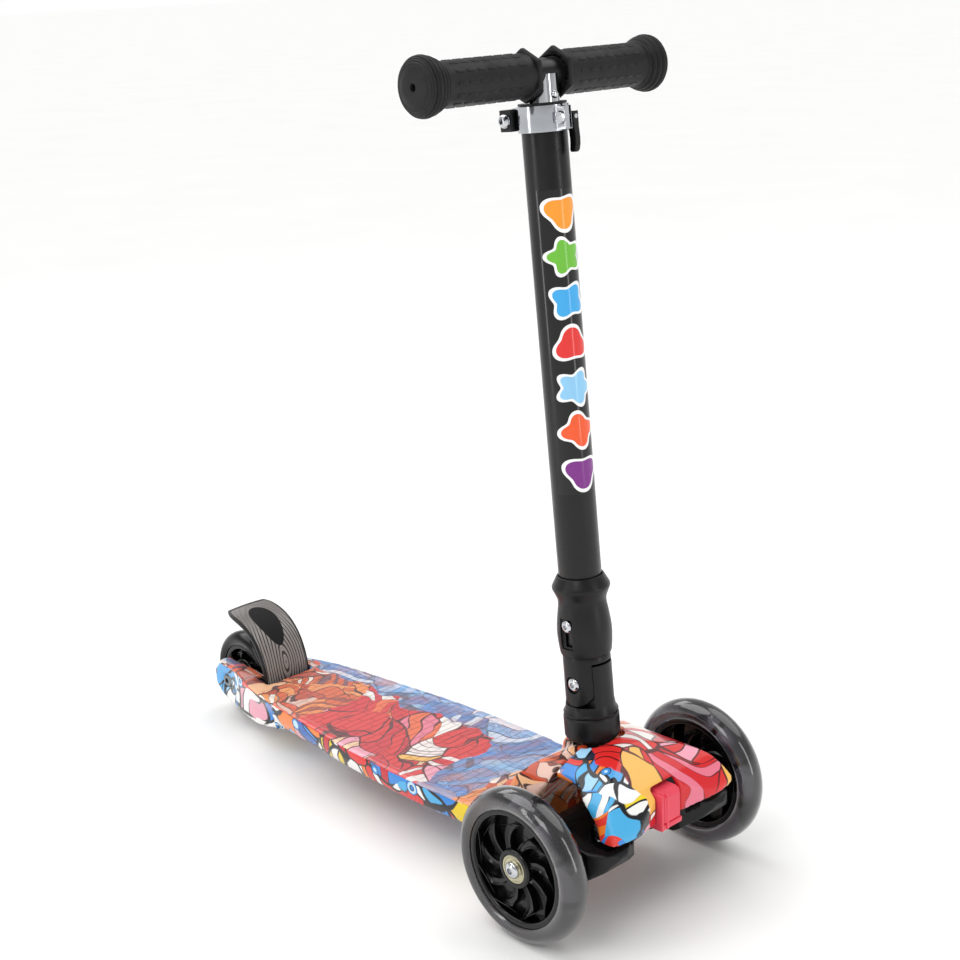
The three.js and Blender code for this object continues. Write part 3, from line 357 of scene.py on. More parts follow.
def bubbles(tree, where, size, under, seed):
    """Rings with pale middles scattered over another layer."""
    moved = add(tree, "VectorMath", {0: where, 1: (seed, 0, seed)}, operation="ADD").outputs[0]
    spots = add(tree, "TexVoronoi", {"Vector": moved, "Scale": 1000 / size, "Randomness": 0.8}, feature="F1")
    ring = add(tree, "ValToRGB", {"Fac": spots.outputs["Distance"]}, [
        (0.0, "#2f7fd0"), (0.11, "#1a1d2c"), (0.16, "#bfe0f4"), (0.27, "#3d8fdb"), (0.33, "#14151d"),
    ])
    ring.color_ramp.interpolation = "CONSTANT"
    dice = add(tree, "SeparateColor", {0: spots.outputs["Color"]})
    some = add(tree, "Math", {0: dice.outputs[2], 1: 0.6}, operation="GREATER_THAN")
    inside = add(tree, "Math", {0: spots.outputs["Distance"], 1: 0.36}, operation="LESS_THAN")
    mask = add(tree, "Math", {0: some, 1: inside}, operation="MULTIPLY")
    return over(tree, mask, under, ring)


def streaks(tree, where, size, stops, seed):
    """Marbled brush strokes about that wide in mm."""
    moved = add(tree, "VectorMath", {0: where, 1: (seed, seed, 0)}, operation="ADD").outputs[0]
    flow = add(tree, "TexWave", {
        "Vector": moved, "Scale": 300 / size, "Distortion": 9,
        "Detail": 2.5, "Detail Scale": 1.6, "Detail Roughness": 0.6,
    }, wave_type="BANDS", bands_direction="DIAGONAL")
    return add(tree, "ValToRGB", {"Fac": flow.outputs["Fac"]}, stops).outputs[0]


# Each colour's share of the cells, from the place where it starts: strong inks for the sides and cover, softer ones
# for the stood-on top.
VIVID = [
    (0.0, "#f4f2ef"), (0.24, "#de2a28"), (0.38, "#efd01c"), (0.5, "#2f86d8"),
    (0.62, "#f4f2ef"), (0.76, "#ef7f2c"), (0.88, "#4aaee2"),
]
DEEP = [
    (0.0, "#f4f2ef"), (0.2, "#c41f2d"), (0.36, "#1f63b8"), (0.5, "#f4f2ef"),
    (0.66, "#f0d433"), (0.76, "#e23a30"), (0.88, "#e9a3b4"),
]
WARM = [
    (0.0, "#f5efea"), (0.18, "#dc2e2c"), (0.4, "#ea6a3a"), (0.5, "#f0a0b4"),
    (0.62, "#f5efea"), (0.74, "#d4222a"), (0.9, "#f4ba58"),
]
ROSE = [
    (0.0, "#d92a2a"), (0.3, "#f0e4e0"), (0.44, "#e8798f"),
    (0.6, "#cf2430"), (0.8, "#f2c9a0"), (0.9, "#ef7a36"),
]
RUST = [
    (0.0, "#d8602c"), (0.2, "#ee8a48"), (0.4, "#c24a2a"),
    (0.52, "#f2b98a"), (0.66, "#e05a34"), (0.84, "#f6ebe0"),
]
CLAY = [
    (0.0, "#a04a34"), (0.18, "#f09a5a"), (0.4, "#e0b8a8"),
    (0.56, "#c85a3a"), (0.74, "#7a4a54"), (0.84, "#f2e2d4"),
]
DUSK = [
    (0.0, "#5f8fc8"), (0.22, "#8fb2da"), (0.4, "#7a6fa0"),
    (0.56, "#b9c9e2"), (0.7, "#4a6fae"), (0.86, "#a98a9a"),
]
SKY = [
    (0.0, "#f3f5f8"), (0.24, "#2f86d8"), (0.44, "#9fd0f0"),
    (0.6, "#f3f5f8"), (0.74, "#20263c"), (0.86, "#5aa8e4"),
]


def zone(tree, axis, low, high, mess):
    """A soft-edged half space along one axis (mm from the front axle), its border broken by noise."""
    wave = add(tree, "Math", {0: mess, 1: 0.05, 2: -0.025}, operation="MULTIPLY_ADD")
    shifted = add(tree, "Math", {0: axis, 1: wave}, operation="ADD")
    edge = add(tree, "MapRange", {"Value": shifted, "From Min": low * MM, "From Max": high * MM})
    return edge.outputs["Result"]


def printed_abs(name, board):
    """ABS with a water-transfer film under clear lacquer: vivid ink, glossy, duller where the board is stood on."""
    material, tree, shader, where = new_finish(name, Coat_Weight=0.3, Coat_Roughness=0.08, Specular_IOR_Level=0.3)
    shift = add(tree, "VectorMath", {0: where, 1: (0, -FLOOR_Y, 0)}, operation="ADD").outputs[0]
    place = add(tree, "SeparateXYZ", {0: shift})
    mess = add(tree, "TexNoise", {"Vector": where, "Scale": 26, "Detail": 2}).outputs["Fac"]
    comic = bubbles(tree, where, 19, graffiti(tree, where, 42, (VIVID, DEEP), 0.31, 0.036), 0.13)
    blue = bubbles(tree, where, 17, graffiti(tree, where, 27, (SKY, VIVID), 0.57), 0.41)
    red = graffiti(tree, where, 36, (WARM, ROSE), 0.73, 0.02, 1.9, "#5a1418")
    rust = graffiti(tree, where, 24, (RUST, CLAY), 0.2, 0.022, 2.3, "#45201a")
    if board:
        dusk = graffiti(tree, where, 38, (DUSK, SKY), 0.9, 0.016, 1.6, "#2b2d45")
        grey = streaks(tree, where, 22, DUSK, 0.9)
        # Seen from the tail: rust, then red and white, then blue into rust again at the head.
        far = zone(tree, place.outputs["X"], 29, 31, mess)
        middle = zone(tree, place.outputs["Y"], 327, 325, mess)
        head = zone(tree, place.outputs["Y"], 166, 164, mess)
        neck = zone(tree, place.outputs["Y"], 114, 112, mess)
        top = over(tree, middle, rust, red)
        top = over(tree, head, top, over(tree, 0.45, dusk, grey))
        top = over(tree, neck, top, rust)
        top = over(tree, far, top, over(tree, 0.4, dusk, grey))
        tread = add(tree, "Attribute", attribute_name="tread").outputs["Fac"]
        # The flat top and its rim are mixed 14% towards a pale grey-pink #b8aaae.
        paler_top = over(tree, 0.14, top, paint("#b8aaae"))
        dome = zone(tree, place.outputs["Y"], 60, 58, mess)
        tail = zone(tree, place.outputs["Y"], 454, 456, mess)
        side = over(tree, dome, over(tree, tail, comic, blue), rust)
        flat = zone(tree, place.outputs["Z"], 56.5, 57.2, 0.5)
        low = zone(tree, place.outputs["Z"], 62, 60, 0.5)
        rim = add(tree, "Math", {0: flat, 1: low}, operation="MULTIPLY").outputs[0]
        stood = add(tree, "Math", {0: tread, 1: rim}, operation="MAXIMUM").outputs[0]
        ink = over(tree, stood, side, paler_top)
        # Grooves round bars about 19 mm by 7.5 mm, laid in broken rows, give shoes a hold.
        bars = add(tree, "TexBrick", {
            "Vector": where, "Scale": 1, "Mortar Size": 0.9 * MM, "Mortar Smooth": 0.4,
            "Brick Width": 19 * MM, "Row Height": 7.5 * MM,
        }, offset=0.37, offset_frequency=2, squash=1.6, squash_frequency=3)
        groove = add(tree, "Math", {0: bars.outputs["Fac"], 1: tread}, operation="MULTIPLY")
        relief = add(tree, "Bump", {"Height": groove, "Strength": 0.8, "Distance": 0.6 * MM}, invert=True)
        # Painted shade: the sunken grooves are darkened a fifth of the way towards near-black #1d1a20.
        shade = add(tree, "Math", {0: groove, 1: 0.22}, operation="MULTIPLY")
        ink = over(tree, shade, ink, paint("#1d1a20"))
        gloss = add(tree, "MapRange", {"Value": tread, "To Min": 0.16, "To Max": 0.4})
        tree.links.new(relief.outputs["Normal"], shader.inputs["Normal"])
    else:
        left = zone(tree, place.outputs["X"], -22.5, -21.5, mess)
        high = zone(tree, place.outputs["Z"], 105.5, 106.5, mess)
        near = graffiti(tree, where, 33, (VIVID, DEEP), 1.93, 0.034, 1.7)
        ink = over(tree, left, over(tree, high, near, blue), red)
        speck = add(tree, "TexNoise", {"Vector": where, "Scale": 70, "Detail": 3})
        gloss = add(tree, "MapRange", {"Value": speck.outputs["Fac"], "To Min": 0.12, "To Max": 0.24})
    tree.links.new(ink, shader.inputs["Base Color"])
    tree.links.new(gloss.outputs["Result"], shader.inputs["Roughness"])
    return material


printed_board = printed_abs("printed_abs_board", True)
printed_cover = printed_abs("printed_abs_cover", False)


def grain_print():
    """The fender: ABS printed with a grey wood grain under lacquer, a dull rubber pad flush in it, and a black edge."""
    material, tree, shader, _ = new_finish("grain_printed_abs", Specular_IOR_Level=0.3)
    sheet = add(tree, "TexCoord").outputs["UV"]
    place = add(tree, "SeparateXYZ", {0: sheet})
    # The grain's arches stand along the fender and fade out above the pad.
    tall = add(tree, "VectorMath", {0: sheet, 1: (1.0, 0.62, 1.0)}, operation="MULTIPLY")
    rings = add(tree, "TexWave", {
        "Vector": tall, "Scale": 3.4, "Distortion": 2.4, "Detail": 2, "Detail Scale": 1.1,
    }, wave_type="RINGS", rings_direction="Z")
    lines = add(tree, "ValToRGB", {"Fac": rings.outputs["Fac"]}, [
        (0.0, "#2b2827"), (0.22, "#4b4745"), (0.48, "#8d8884"), (0.8, "#a29c98"), (1.0, "#7d7875"),
    ])
    high = add(tree, "MapRange", {"Value": place.outputs["Y"], "From Min": 0.55, "From Max": 0.8, "To Max": 0.85})
    plain = over(tree, high, lines, paint("#736e6b"))
    # The pad is an oval, a little wider towards the free end.
    along = add(tree, "MapRange", {
        "Value": place.outputs["Y"], "From Min": 0.27, "From Max": 1.09, "To Min": -1, "To Max": 1,
    })
    along.clamp = False
    girth = add(tree, "Math", {0: along, 1: 0.09, 2: 0.4}, operation="MULTIPLY_ADD")
    sideways = add(tree, "Math", {0: place.outputs["X"], 1: girth}, operation="DIVIDE")
    a2 = add(tree, "Math", {0: along, 1: 2}, operation="POWER")
    s2 = add(tree, "Math", {0: sideways, 1: 2}, operation="POWER")
    reach = add(tree, "Math", {0: a2, 1: s2}, operation="ADD")
    pad = add(tree, "MapRange", {
        "Value": reach, "From Min": 0.97, "From Max": 1.03, "To Min": 1, "To Max": 0,
    }).outputs["Result"]
    outer = add(tree, "Attribute", attribute_name="outer").outputs["Fac"]
    pad = add(tree, "Math", {0: pad, 1: outer}, operation="MULTIPLY").outputs[0]
    rim = add(tree, "Attribute", attribute_name="rim").outputs["Fac"]
    edge = add(tree, "MapRange", {"Value": rim, "From Min": 0.36, "From Max": 0.48}).outputs["Result"]
    inner = add(tree, "Math", {0: 1.0, 1: outer}, operation="SUBTRACT").outputs[0]
    black = add(tree, "Math", {0: edge, 1: inner}, operation="MAXIMUM")
    ink = over(tree, black, plain, paint("#101012"))
    ink = over(tree, pad, ink, paint("#0e0d0e"))
    fine = add(tree, "TexNoise", {"Vector": sheet, "Scale": 40, "Detail": 3})
    gloss = add(tree, "MapRange", {"Value": fine.outputs["Fac"], "To Min": 0.2, "To Max": 0.34})
    dull = add(tree, "Mix", {0: pad, 2: gloss, 3: 0.75})
    step = add(tree, "Bump", {"Height": pad, "Strength": 0.6, "Distance": 0.5 * MM}, invert=True)
    tree.links.new(ink, shader.inputs["Base Color"])
    tree.links.new(dull.outputs[0], shader.inputs["Roughness"])
    tree.links.new(step.outputs["Normal"], shader.inputs["Normal"])
    return material


def sticker():
    """Glossy vinyl with a column of lobed shapes, each in its own colour with a white border."""
    material, tree, shader, where = new_finish(
        "glossy_vinyl_sticker", Coat_Weight=0.15, Coat_Roughness=0.05, Specular_IOR_Level=0.35,
    )
    place = add(tree, "SeparateXYZ", {0: add(tree, "TexCoord").outputs["UV"]})
    shapes = 7
    row = add(tree, "Math", {0: place.outputs["Y"], 1: shapes}, operation="MULTIPLY")
    number = add(tree, "Math", {0: row}, operation="FLOOR")
    inside = add(tree, "Math", {0: row}, operation="FRACT")
    v = add(tree, "MapRange", {"Value": inside, "To Min": -1.04, "To Max": 1.04})
    u = add(tree, "MapRange", {
        "Value": place.outputs["X"], "From Min": 0.06, "From Max": 0.76, "To Min": -1, "To Max": 1,
    })
    u.clamp = v.clamp = False
    angle = add(tree, "Math", {0: v, 1: u}, operation="ARCTAN2")
    lobes = add(tree, "Math", {0: number, 1: 3}, operation="MODULO")
    lobes = add(tree, "Math", {0: lobes, 1: 3}, operation="ADD")
    turn = add(tree, "Math", {0: angle, 1: lobes, 2: number}, operation="MULTIPLY_ADD")
    wave = add(tree, "Math", {0: turn}, operation="SINE")
    swell = add(tree, "Math", {0: wave, 1: 0.16, 2: 0.86}, operation="MULTIPLY_ADD")
    across = add(tree, "Math", {0: u, 1: 2}, operation="POWER")
    upward = add(tree, "Math", {0: v, 1: 2}, operation="POWER")
    reach = add(tree, "Math", {0: across, 1: upward}, operation="ADD")
    reach = add(tree, "Math", {0: reach}, operation="SQRT")
    share = add(tree, "Math", {0: reach, 1: swell}, operation="DIVIDE")
    shelf = add(tree, "Math", {0: number, 1: shapes}, operation="DIVIDE")
    hue = add(tree, "ValToRGB", {"Fac": shelf}, [
        (0.0, "#7d2a86"), (0.12, "#ef5a2a"), (0.26, "#8fc9ee"), (0.4, "#e0322f"),
        (0.55, "#3fa8e6"), (0.69, "#6dbb3a"), (0.83, "#f49a2c"),
    ])
    hue.color_ramp.interpolation = "CONSTANT"
    white = add(tree, "Math", {0: share, 1: 0.8}, operation="LESS_THAN")  # inside the white border
    black = add(tree, "Math", {0: share, 1: 0.97}, operation="GREATER_THAN")
    shape = over(tree, white, paint("#f4f4f4"), hue)
    ink = over(tree, black, shape, paint("#0a0a0b"))
    fine = add(tree, "TexNoise", {"Vector": where, "Scale": 120, "Detail": 3})
    gloss = add(tree, "MapRange", {"Value": fine.outputs["Fac"], "To Min": 0.08, "To Max": 0.2})
    tree.links.new(ink, shader.inputs["Base Color"])
    tree.links.new(gloss.outputs["Result"], shader.inputs["Roughness"])
    return material


def fit(piece, body, material, slot, *nodes):
    """Gives a piece its material and body and hides the CAD nodes it stands for; the slot is not used."""
    piece.data.materials.clear()
    piece.data.materials.append(material)
    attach(piece, body)
    if nodes:
        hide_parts(*nodes)
    return piece


# ---- Deck, cover, nose ----
board = moulded("board", "deck", 1.6, 12)
fit(board, "frame", printed_board, "printed_shell", "deck")

cover = moulded("cover", "front_cover", 1.1, 14)
fit(cover, "frame", printed_cover, "printed_shell", "front_cover")

carrier = moulded("truck_arms", "truck", 1.3, 4)
fit(carrier, "truck", moulded_nylon, "black_plastic", "truck")


def copied_node(name, node, width, segments=2):
    """A frame node's shape with its edges rounded."""
    piece = bpy.data.objects.new(name, frame["nodes"][node].data.copy())
    bpy.context.scene.collection.objects.link(piece)
    pick(piece)
    bpy.ops.object.mode_set(mode="EDIT")
    bpy.ops.mesh.select_all(action="SELECT")
    bpy.ops.mesh.remove_doubles(threshold=1e-5)
    bpy.ops.mesh.dissolve_limited(angle_limit=math.radians(1))
    bpy.ops.object.mode_set(mode="OBJECT")
    return soften(piece, width, segments)


# The nose: the spring housing between the cover's lobes, a box with two ribs and a lip below.
nose = block("nose", (-12.6, -57.6, 73), (12.6, -36, 101))
soften(nose, 4.2, 1, 40, 30)
ribs = [block("rib", (x - 1.3, -57.95, 71), (x + 1.3, -40, 99.6)) for x in (-11.2, -5.4)]
lip = block("lip", (-12, -57, 70.5), (12, -38, 75))
nose = soften(merge("nose", nose, *[soften(r, 0.5, 2) for r in ribs], soften(lip, 1.2, 2)), 0)
fit(seat(nose, at(0, 0, 0)), "frame", rose_abs, "rose_plastic", "nose_block")


DECK_TOP = 58


def unit(value):
    return max(0.0, min(1.0, value))


def tuck_ends(piece):
    """Draws the board's sides in below its top, where they run into the tail and the head."""
    for v in piece.data.vertices:
        y, z = (v.co.y - FLOOR_Y) / MM, v.co.z / MM
        tail, head = y > 372, y < 60
        share = unit((450 - y) / 78) if tail else unit((y - 36) / 24) if head else 0
        depth = unit((DECK_TOP - z) / 24)
        if share and depth:
            half = 42 if tail else 62
            v.co.x *= 1 - 9 * share * share * (3 - 2 * share) * math.sin(depth * math.pi / 2) ** 1.5 / half


tuck_ends(board)


def lay_tread(piece, top, edge, sink):
    """Sinks the flat top a little, from some mm inside the board's edge, and marks it for its material."""
    mesh = piece.data
    tread = mesh.attributes.new("tread", "FLOAT", "POINT")
    half = {}
    for v in mesh.vertices:
        if top - 6 * MM < v.co.z < top - 1 * MM:
            key = round(v.co.y / (4 * MM))
            half[key] = max(half.get(key, 0), abs(v.co.x))
    front, back = FLOOR_Y + 86 * MM, FLOOR_Y + 402 * MM
    values = []
    for v in mesh.vertices:
        reach = half.get(round(v.co.y / (4 * MM)), 0) - edge * MM
        inward = min(reach - abs(v.co.x), v.co.y - front, back - v.co.y)
        on_top = abs(v.co.z - top) < 0.6 * MM and v.normal.z > 0.9
        values.append(unit(inward / (1.2 * MM)) if on_top else 0.0)
    tread.data.foreach_set("value", values)
    for v, share in zip(mesh.vertices, values):
        v.co.z -= sink * MM * share


lay_tread(board, DECK_TOP * MM, 7, 0.7)

# ---- Wheels ----


def tyre(name, rim, radius, half):
    shoulder = radius - half * 0.75
    tread = [(shoulder + (radius - shoulder) * math.cos(a), half * math.sin(a))
             for a in [math.radians(-84 + 168 * i / 20) for i in range(21)]]
    return soften(turned(name, [
        (rim, -half + 2), (rim + 1.5, -half + 1), *tread, (rim + 1.5, half - 1), (rim, half - 2), (rim, -half + 2),
    ], 128), 0)


def spoke(name, hub, rim, low, high):
    """One swept blade: a small block on the hub drawn out along a spiral to the rim, grooved on both faces."""
    def point(share):
        radius = hub + (rim - hub) * share
        turn = math.radians(38) * share * share
        return Vector((radius * math.cos(turn), radius * math.sin(turn), 0))
    piece = block(name, (hub - 2, -2.6, low), (hub, 2.6, high))
    steps, width = [], 1.0
    for i in range(8):
        a, b = point(i / 8), point((i + 1) / 8)
        wanted = (0.95 + 0.75 * (i / 7) ** 1.3) / max(0.45, (b - a).normalized().x)
        steps.append(((b - a)[:], (1, wanted / width, 1)))
        width = wanted
    grow(piece, (1, 0, 0), steps)
    pick(piece)
    bpy.ops.object.mode_set(mode="EDIT")
    bpy.ops.mesh.select_mode(type="FACE")
    bpy.ops.mesh.select_all(action="DESELECT")
    mesh = bmesh.from_edit_mesh(piece.data)
    for face in mesh.faces:
        face.select = abs(face.normal.z) > 0.9 and face.calc_center_median().length > (hub + 1) * MM
    bmesh.update_edit_mesh(piece.data)
    bpy.ops.mesh.inset(thickness=1.3 * MM, depth=-1.6 * MM, use_boundary=True)
    bpy.ops.object.mode_set(mode="OBJECT")
    return soften(piece, 0.35, 2, 40, 60)


def wheel(label, place, radius, rim, half, count, body, urethane, slot_name):
    """A wheel about Z laid along X: tyre, swept-spoke core and bearings."""
    core_half = half - 2.5
    parts = [
        soften(turned("rim", [
            (rim - 5, -core_half + 1.5), (rim - 4, -core_half), (rim - 0.3, -core_half), (rim - 0.3, core_half),
            (rim - 4, core_half), (rim - 5, core_half - 1.5), (rim - 5, -core_half + 1.5),
        ], 128), 0.5),
        soften(turned("hub", [
            (11.3, -core_half), (14.4, -core_half), (15.4, -core_half + 1.4), (15.4, core_half - 1.4),
            (14.4, core_half), (11.3, core_half), (11.3, -core_half),
        ], 96), 0.4),
    ]
    parts.append(soften(turned("web", [(14, -1.2), (rim - 4.5, -1.2), (rim - 4.5, 1.2), (14, 1.2), (14, -1.2)], 96), 0))
    for i in range(count):
        arm = spoke("spoke", 14, rim - 3.5, -core_half + 1.5, core_half - 1.2)
        parts.append(seat(arm, Matrix.Rotation(2 * math.pi * i / count, 4, "Z")))
    core = merge("core_" + label, *parts)
    fit(seat(core, place), body, polished_abs, "black_plastic", "wheel_core_" + label)
    fit(seat(tyre("urethane_" + label, rim, radius, half), place), body, urethane, slot_name, "tyre_" + label)
    for sign, word in ((-1, "right"), (1, "left")):
        race = turned("bearing_ring_" + label + "_" + word, [
            (4.3, -3.5), (6.2, -3.5), (6.5, -2.7), (9.3, -2.7), (9.6, -3.5), (11, -3.5), (11, 3.5),
            (9.6, 3.5), (9.3, 2.7), (6.5, 2.7), (6.2, 3.5), (4.3, 3.5), (4.3, -3.5),
        ])
        seat(soften(race, 0.25), place @ Matrix.Translation((0, 0, sign * (core_half - 3.5) * MM)))
        fit(race, body, yellow_zinc, "zinc_steel", "bearing_" + label + "_" + word)


def dome_bolt(name, head, height, shank, length, facets=64):
    """A button-head bolt about Z: its head's seat at zero, its hexagon socket upwards."""
    dome = [(head * math.cos(a), height * (0.25 + 0.75 * math.sin(a)))
            for a in [math.radians(t) for t in range(0, 76, 12)]]
    bolt = turned(name, [(0, -length), (shank, -length), (shank, 0), (head, 0), *dome, (0, height)], facets)
    return soften(carve(bolt, rod("socket", head * 0.42, height * 0.35, height + 2, 6)), 0.2, 2)


for sign, word in ((-1, "right"), (1, "left")):
    place = Matrix.Translation((sign * abs(centre("tyre_front_left").x), FLOOR_Y, FRONT_AXLE.z)) @ ALONG_X
    wheel("front_" + word, place, 60, 46, 12, 9, "front_wheel_" + word, smoked_urethane, "smoky_tyre")
    bolt = dome_bolt("front_axle_bolt_" + word, 6.5, 4, 4, 40)
    outward = Matrix.Rotation(sign * math.pi / 2, 4, "Y")
    face = Matrix.Translation((sign * 111.1 * MM, FLOOR_Y, FRONT_AXLE.z)) @ outward
    fit(seat(bolt, face), "truck", chrome_plate, "chrome", "axle_bolt_" + word)
wheel("rear", Matrix.Translation(REAR_AXLE) @ ALONG_X, 42, 30, 10, 7, "rear_wheel", filled_urethane, "smoky_tyre")

# ---- Brake ----
fender_line = [(418, 48), (417.6, 55), (418, 62), (419.4, 69.5), (422, 77), (425, 83.8), (429, 90), (434, 95.8),
               (440, 100.8), (446.6, 104.4), (454, 107.2), (462, 109.2), (470, 110.6), (476, 111.3)]


def make_fender():
    """A strip drawn along the fender's line, with a rounded end; dress_fender crowns it and gives it its wall."""
    clear_selection()
    bpy.ops.mesh.primitive_plane_add(size=1, calc_uvs=False, location=(0, 0, 0))
    piece = bpy.context.active_object
    piece.name = piece.data.name = "fender"
    bpy.ops.object.mode_set(mode="EDIT")
    bpy.ops.mesh.delete(type="ONLY_FACE")
    mesh = bmesh.from_edit_mesh(piece.data)
    start = [v for v in mesh.verts if v.co.y < 0]
    bmesh.ops.delete(mesh, geom=[v for v in mesh.verts if v.co.y > 0], context="VERTS")
    for v in start:
        v.co = Vector((math.copysign(25.4 * MM, v.co.x), FLOOR_Y + fender_line[0][0] * MM, fender_line[0][1] * MM))
        v.select = True
    mesh.select_flush(True)
    bmesh.update_edit_mesh(piece.data)
    bpy.ops.mesh.select_mode(type="EDGE")
    bpy.ops.mesh.select_all(action="SELECT")
    bpy.ops.mesh.subdivide(number_cuts=11)
    for (y0, z0), (y1, z1) in zip(fender_line, fender_line[1:]):
        bpy.ops.mesh.extrude_region_move(TRANSFORM_OT_translate={"value": (0, (y1 - y0) * MM, (z1 - z0) * MM)})
        if y1 > 450:
            share = {462: 0.99, 470: 0.95, 476: 0.87}.get(y1, 1)
            bpy.ops.transform.resize(value=(share, 1, 1), center_override=(0, FLOOR_Y + y1 * MM, z1 * MM))
    bpy.ops.object.mode_set(mode="OBJECT")
    return piece


def dress_fender(piece):
    """Crowns the strip, writes how far along and across each point lies, then gives it its wall."""
    run = [0.0]
    for a, b in zip(fender_line, fender_line[1:]):
        run.append(run[-1] + math.dist(a, b))
    mesh = piece.data
    rows = []
    for v in mesh.vertices:
        y, z = (v.co.y - FLOOR_Y) / MM, v.co.z / MM
        rows.append(min(range(len(fender_line)), key=lambda i: math.dist(fender_line[i], (y, z))))
    widest = {}
    for v, row in zip(mesh.vertices, rows):
        widest[row] = max(widest.get(row, 0), abs(v.co.x))
    mesh.attributes.new("outer", "FLOAT", "POINT")
    rim = mesh.attributes.new("rim", "FLOAT", "POINT")
    last = len(fender_line) - 1
    rim.data.foreach_set("value", [
        1.0 if widest[row] - abs(v.co.x) < 0.2 * MM or row == last else 0.0 for v, row in zip(mesh.vertices, rows)
    ])
    sheet = mesh.uv_layers.new(name="sheet")
    for loop in mesh.loops:
        v = mesh.vertices[loop.vertex_index]
        sheet.data[loop.index].uv = (v.co.x / 0.03, run[rows[loop.vertex_index]] / 60 - 0.35)
    for v, row in zip(mesh.vertices, rows):
        a, b = fender_line[max(row - 1, 0)], fender_line[min(row + 1, last)]
        along = Vector((0, b[0] - a[0], b[1] - a[1])).normalized()
        outward = Vector((0, -along.z, along.y))
        crown = 1 - (v.co.x / widest[row]) ** 2
        v.co += outward * (crown * 1.0 - 0.2) * MM
    pick(piece)
    wall = piece.modifiers.new("wall", "SOLIDIFY")
    wall.thickness, wall.offset, wall.use_even_offset = 3.8 * MM, 0, True
    bpy.ops.object.modifier_apply(modifier=wall.name)
    # The print lies on the outer face only.
    hub = Vector((0, FLOOR_Y + 476 * MM, 42 * MM))
    outward = [v.normal.dot((v.co - hub) * Vector((0, 1, 1))) for v in mesh.vertices]
    mesh.attributes["outer"].data.foreach_set("value", [1.0 if d > 0 else 0.0 for d in outward])
    soften(piece, 0.9, 2, 50)
    finer = piece.modifiers.new("finer", "SUBSURF")
    finer.levels = finer.render_levels = 2
    bpy.ops.object.modifier_apply(modifier=finer.name)
    bpy.ops.object.shade_smooth()
    return piece


fender = dress_fender(make_fender())
fit(fender, "brake", grain_print(), "print_grey", "brake_fender")

fit(copied_node("friction_block", "brake_pad", 0.8), "brake", pad_rubber, "rubber", "brake_pad")

# ---- Steering column ----


def cross_rod(name, radius, low, high, y, z, facets=64):
    """A rod laid along X in the column's own frame, in millimetres."""
    return seat(rod(name, radius, low, high, facets), Matrix.Translation((0, y * MM, z * MM)) @ ALONG_X)


FOLD, PIVOT_SEAT, BOLT_HEIGHT = 167.4, 15.3, 214.5
base = turned("fold_base_moulding", [
    (0, 87), (14.8, 87), (14.8, 141), (20.9, 141.3), (21.2, 143), (19.4, 146), (18.8, 150), (18.8, 200), (0, 200),
])
keep = block("keep", (-40, -60, 80), (40, 60, 149.8))
tongue = block("tongue", (-10.5, -60, 149), (10.5, 15.6, FOLD))
crest = cross_rod("crest", 15.6, -10.5, 10.5, 0, FOLD, 96)
front = block("front", (-10.5, -60, 149), (10.5, -3, FOLD + 15.4))
carve(keep, tongue, crest, front, how="UNION")
carve(base, keep, how="INTERSECT")
carve(base, cross_rod("bore", 4.3, -40, 40, 0, FOLD))
fit(seat(soften(base, 0.6, 3), COLUMN), "frame", moulded_nylon, "black_plastic", "fold_base")

ring = turned("ring_nut_moulding", [
    (15.1, 122.6), (20.6, 122.6), (21.5, 123.8), (21.5, 139.6), (20.6, 141), (15.1, 141), (15.1, 122.6),
])
fit(seat(soften(ring, 0.5, 3), COLUMN), "frame", moulded_nylon, "black_plastic", "ring_nut")

fork = turned("fork_moulding", [
    (0, 145), (18.3, 145), (18.3, 186.5), (17.6, 189.2), (16.3, 189.2), (16.3, 192.2), (14, 192.2), (14, 262), (0, 262),
])
cheeks = block("cheeks", (-40, -40, FOLD), (40, 40, 300))
round_end = cross_rod("round_end", 17, -40, 40, 0, FOLD, 96)
carve(cheeks, round_end, how="UNION")
carve(fork, cheeks, how="INTERSECT")
carve(
    fork,
    block("gap", (-10.8, -40, 100), (10.8, 40, FOLD + 17.1)),
    cross_rod("bore", 4.3, -40, 40, 0, FOLD),
    cross_rod("seat_right", 6.8, -40, -PIVOT_SEAT, 0, FOLD),
    cross_rod("seat_left", 6.8, PIVOT_SEAT, 40, 0, FOLD),
)
fit(seat(soften(fork, 0.6, 3), COLUMN), "column", moulded_nylon, "black_plastic", "fold_fork")

for name, height, head, tall, face, node in (
    ("pivot_screw", FOLD, 5.6, 3.0, PIVOT_SEAT + 0.3, "pivot_bolt"),
    ("tube_screw", BOLT_HEIGHT, 4.8, 2.6, 18.2, "tube_bolt"),
):
    screw = dome_bolt(name, head, tall, 2.2, 2 * face - 1)
    fit(seat(screw, up_column(-face, 0, height) @ TO_RIGHT), "column", chrome_plate, "chrome", node)
    nut = soften(rod(name + "_nut", head, 0, 3, 6), 0.4, 2)
    fit(seat(nut, up_column(face, 0, height) @ ALONG_X), "column", clear_zinc, "zinc_steel", node + "_nut")

sleeve = turned("sleeve_moulding", [
    (16.6, 189.5), (19.0, 189.5), (19.6, 191), (20.1, 195), (20.6, 200), (20.9, 205), (20.9, 209), (20.5, 214),
    (19.9, 219), (19.1, 224), (18.5, 228), (18.3, 231), (18.6, 233.5), (19.6, 236), (21.6, 240.6), (22, 241.6),
    (22, 243.2), (21.4, 244.6), (18.2, 250.6), (17.6, 251.5), (16.6, 251.5), (16.6, 189.5),
])
carve(
    sleeve,
    block("window_right", (-30, -5.8, 196.5), (-17.75, 5.8, 220.3)),
    block("window_left", (17.75, -5.8, 196.5), (30, 5.8, 220.3)),
    block("slot", (-30, -3.2, 198), (30, 3.2, 217.8)),
)
fit(seat(soften(sleeve, 0.6, 3), COLUMN), "sleeve", moulded_nylon, "black_plastic", "lock_sleeve")

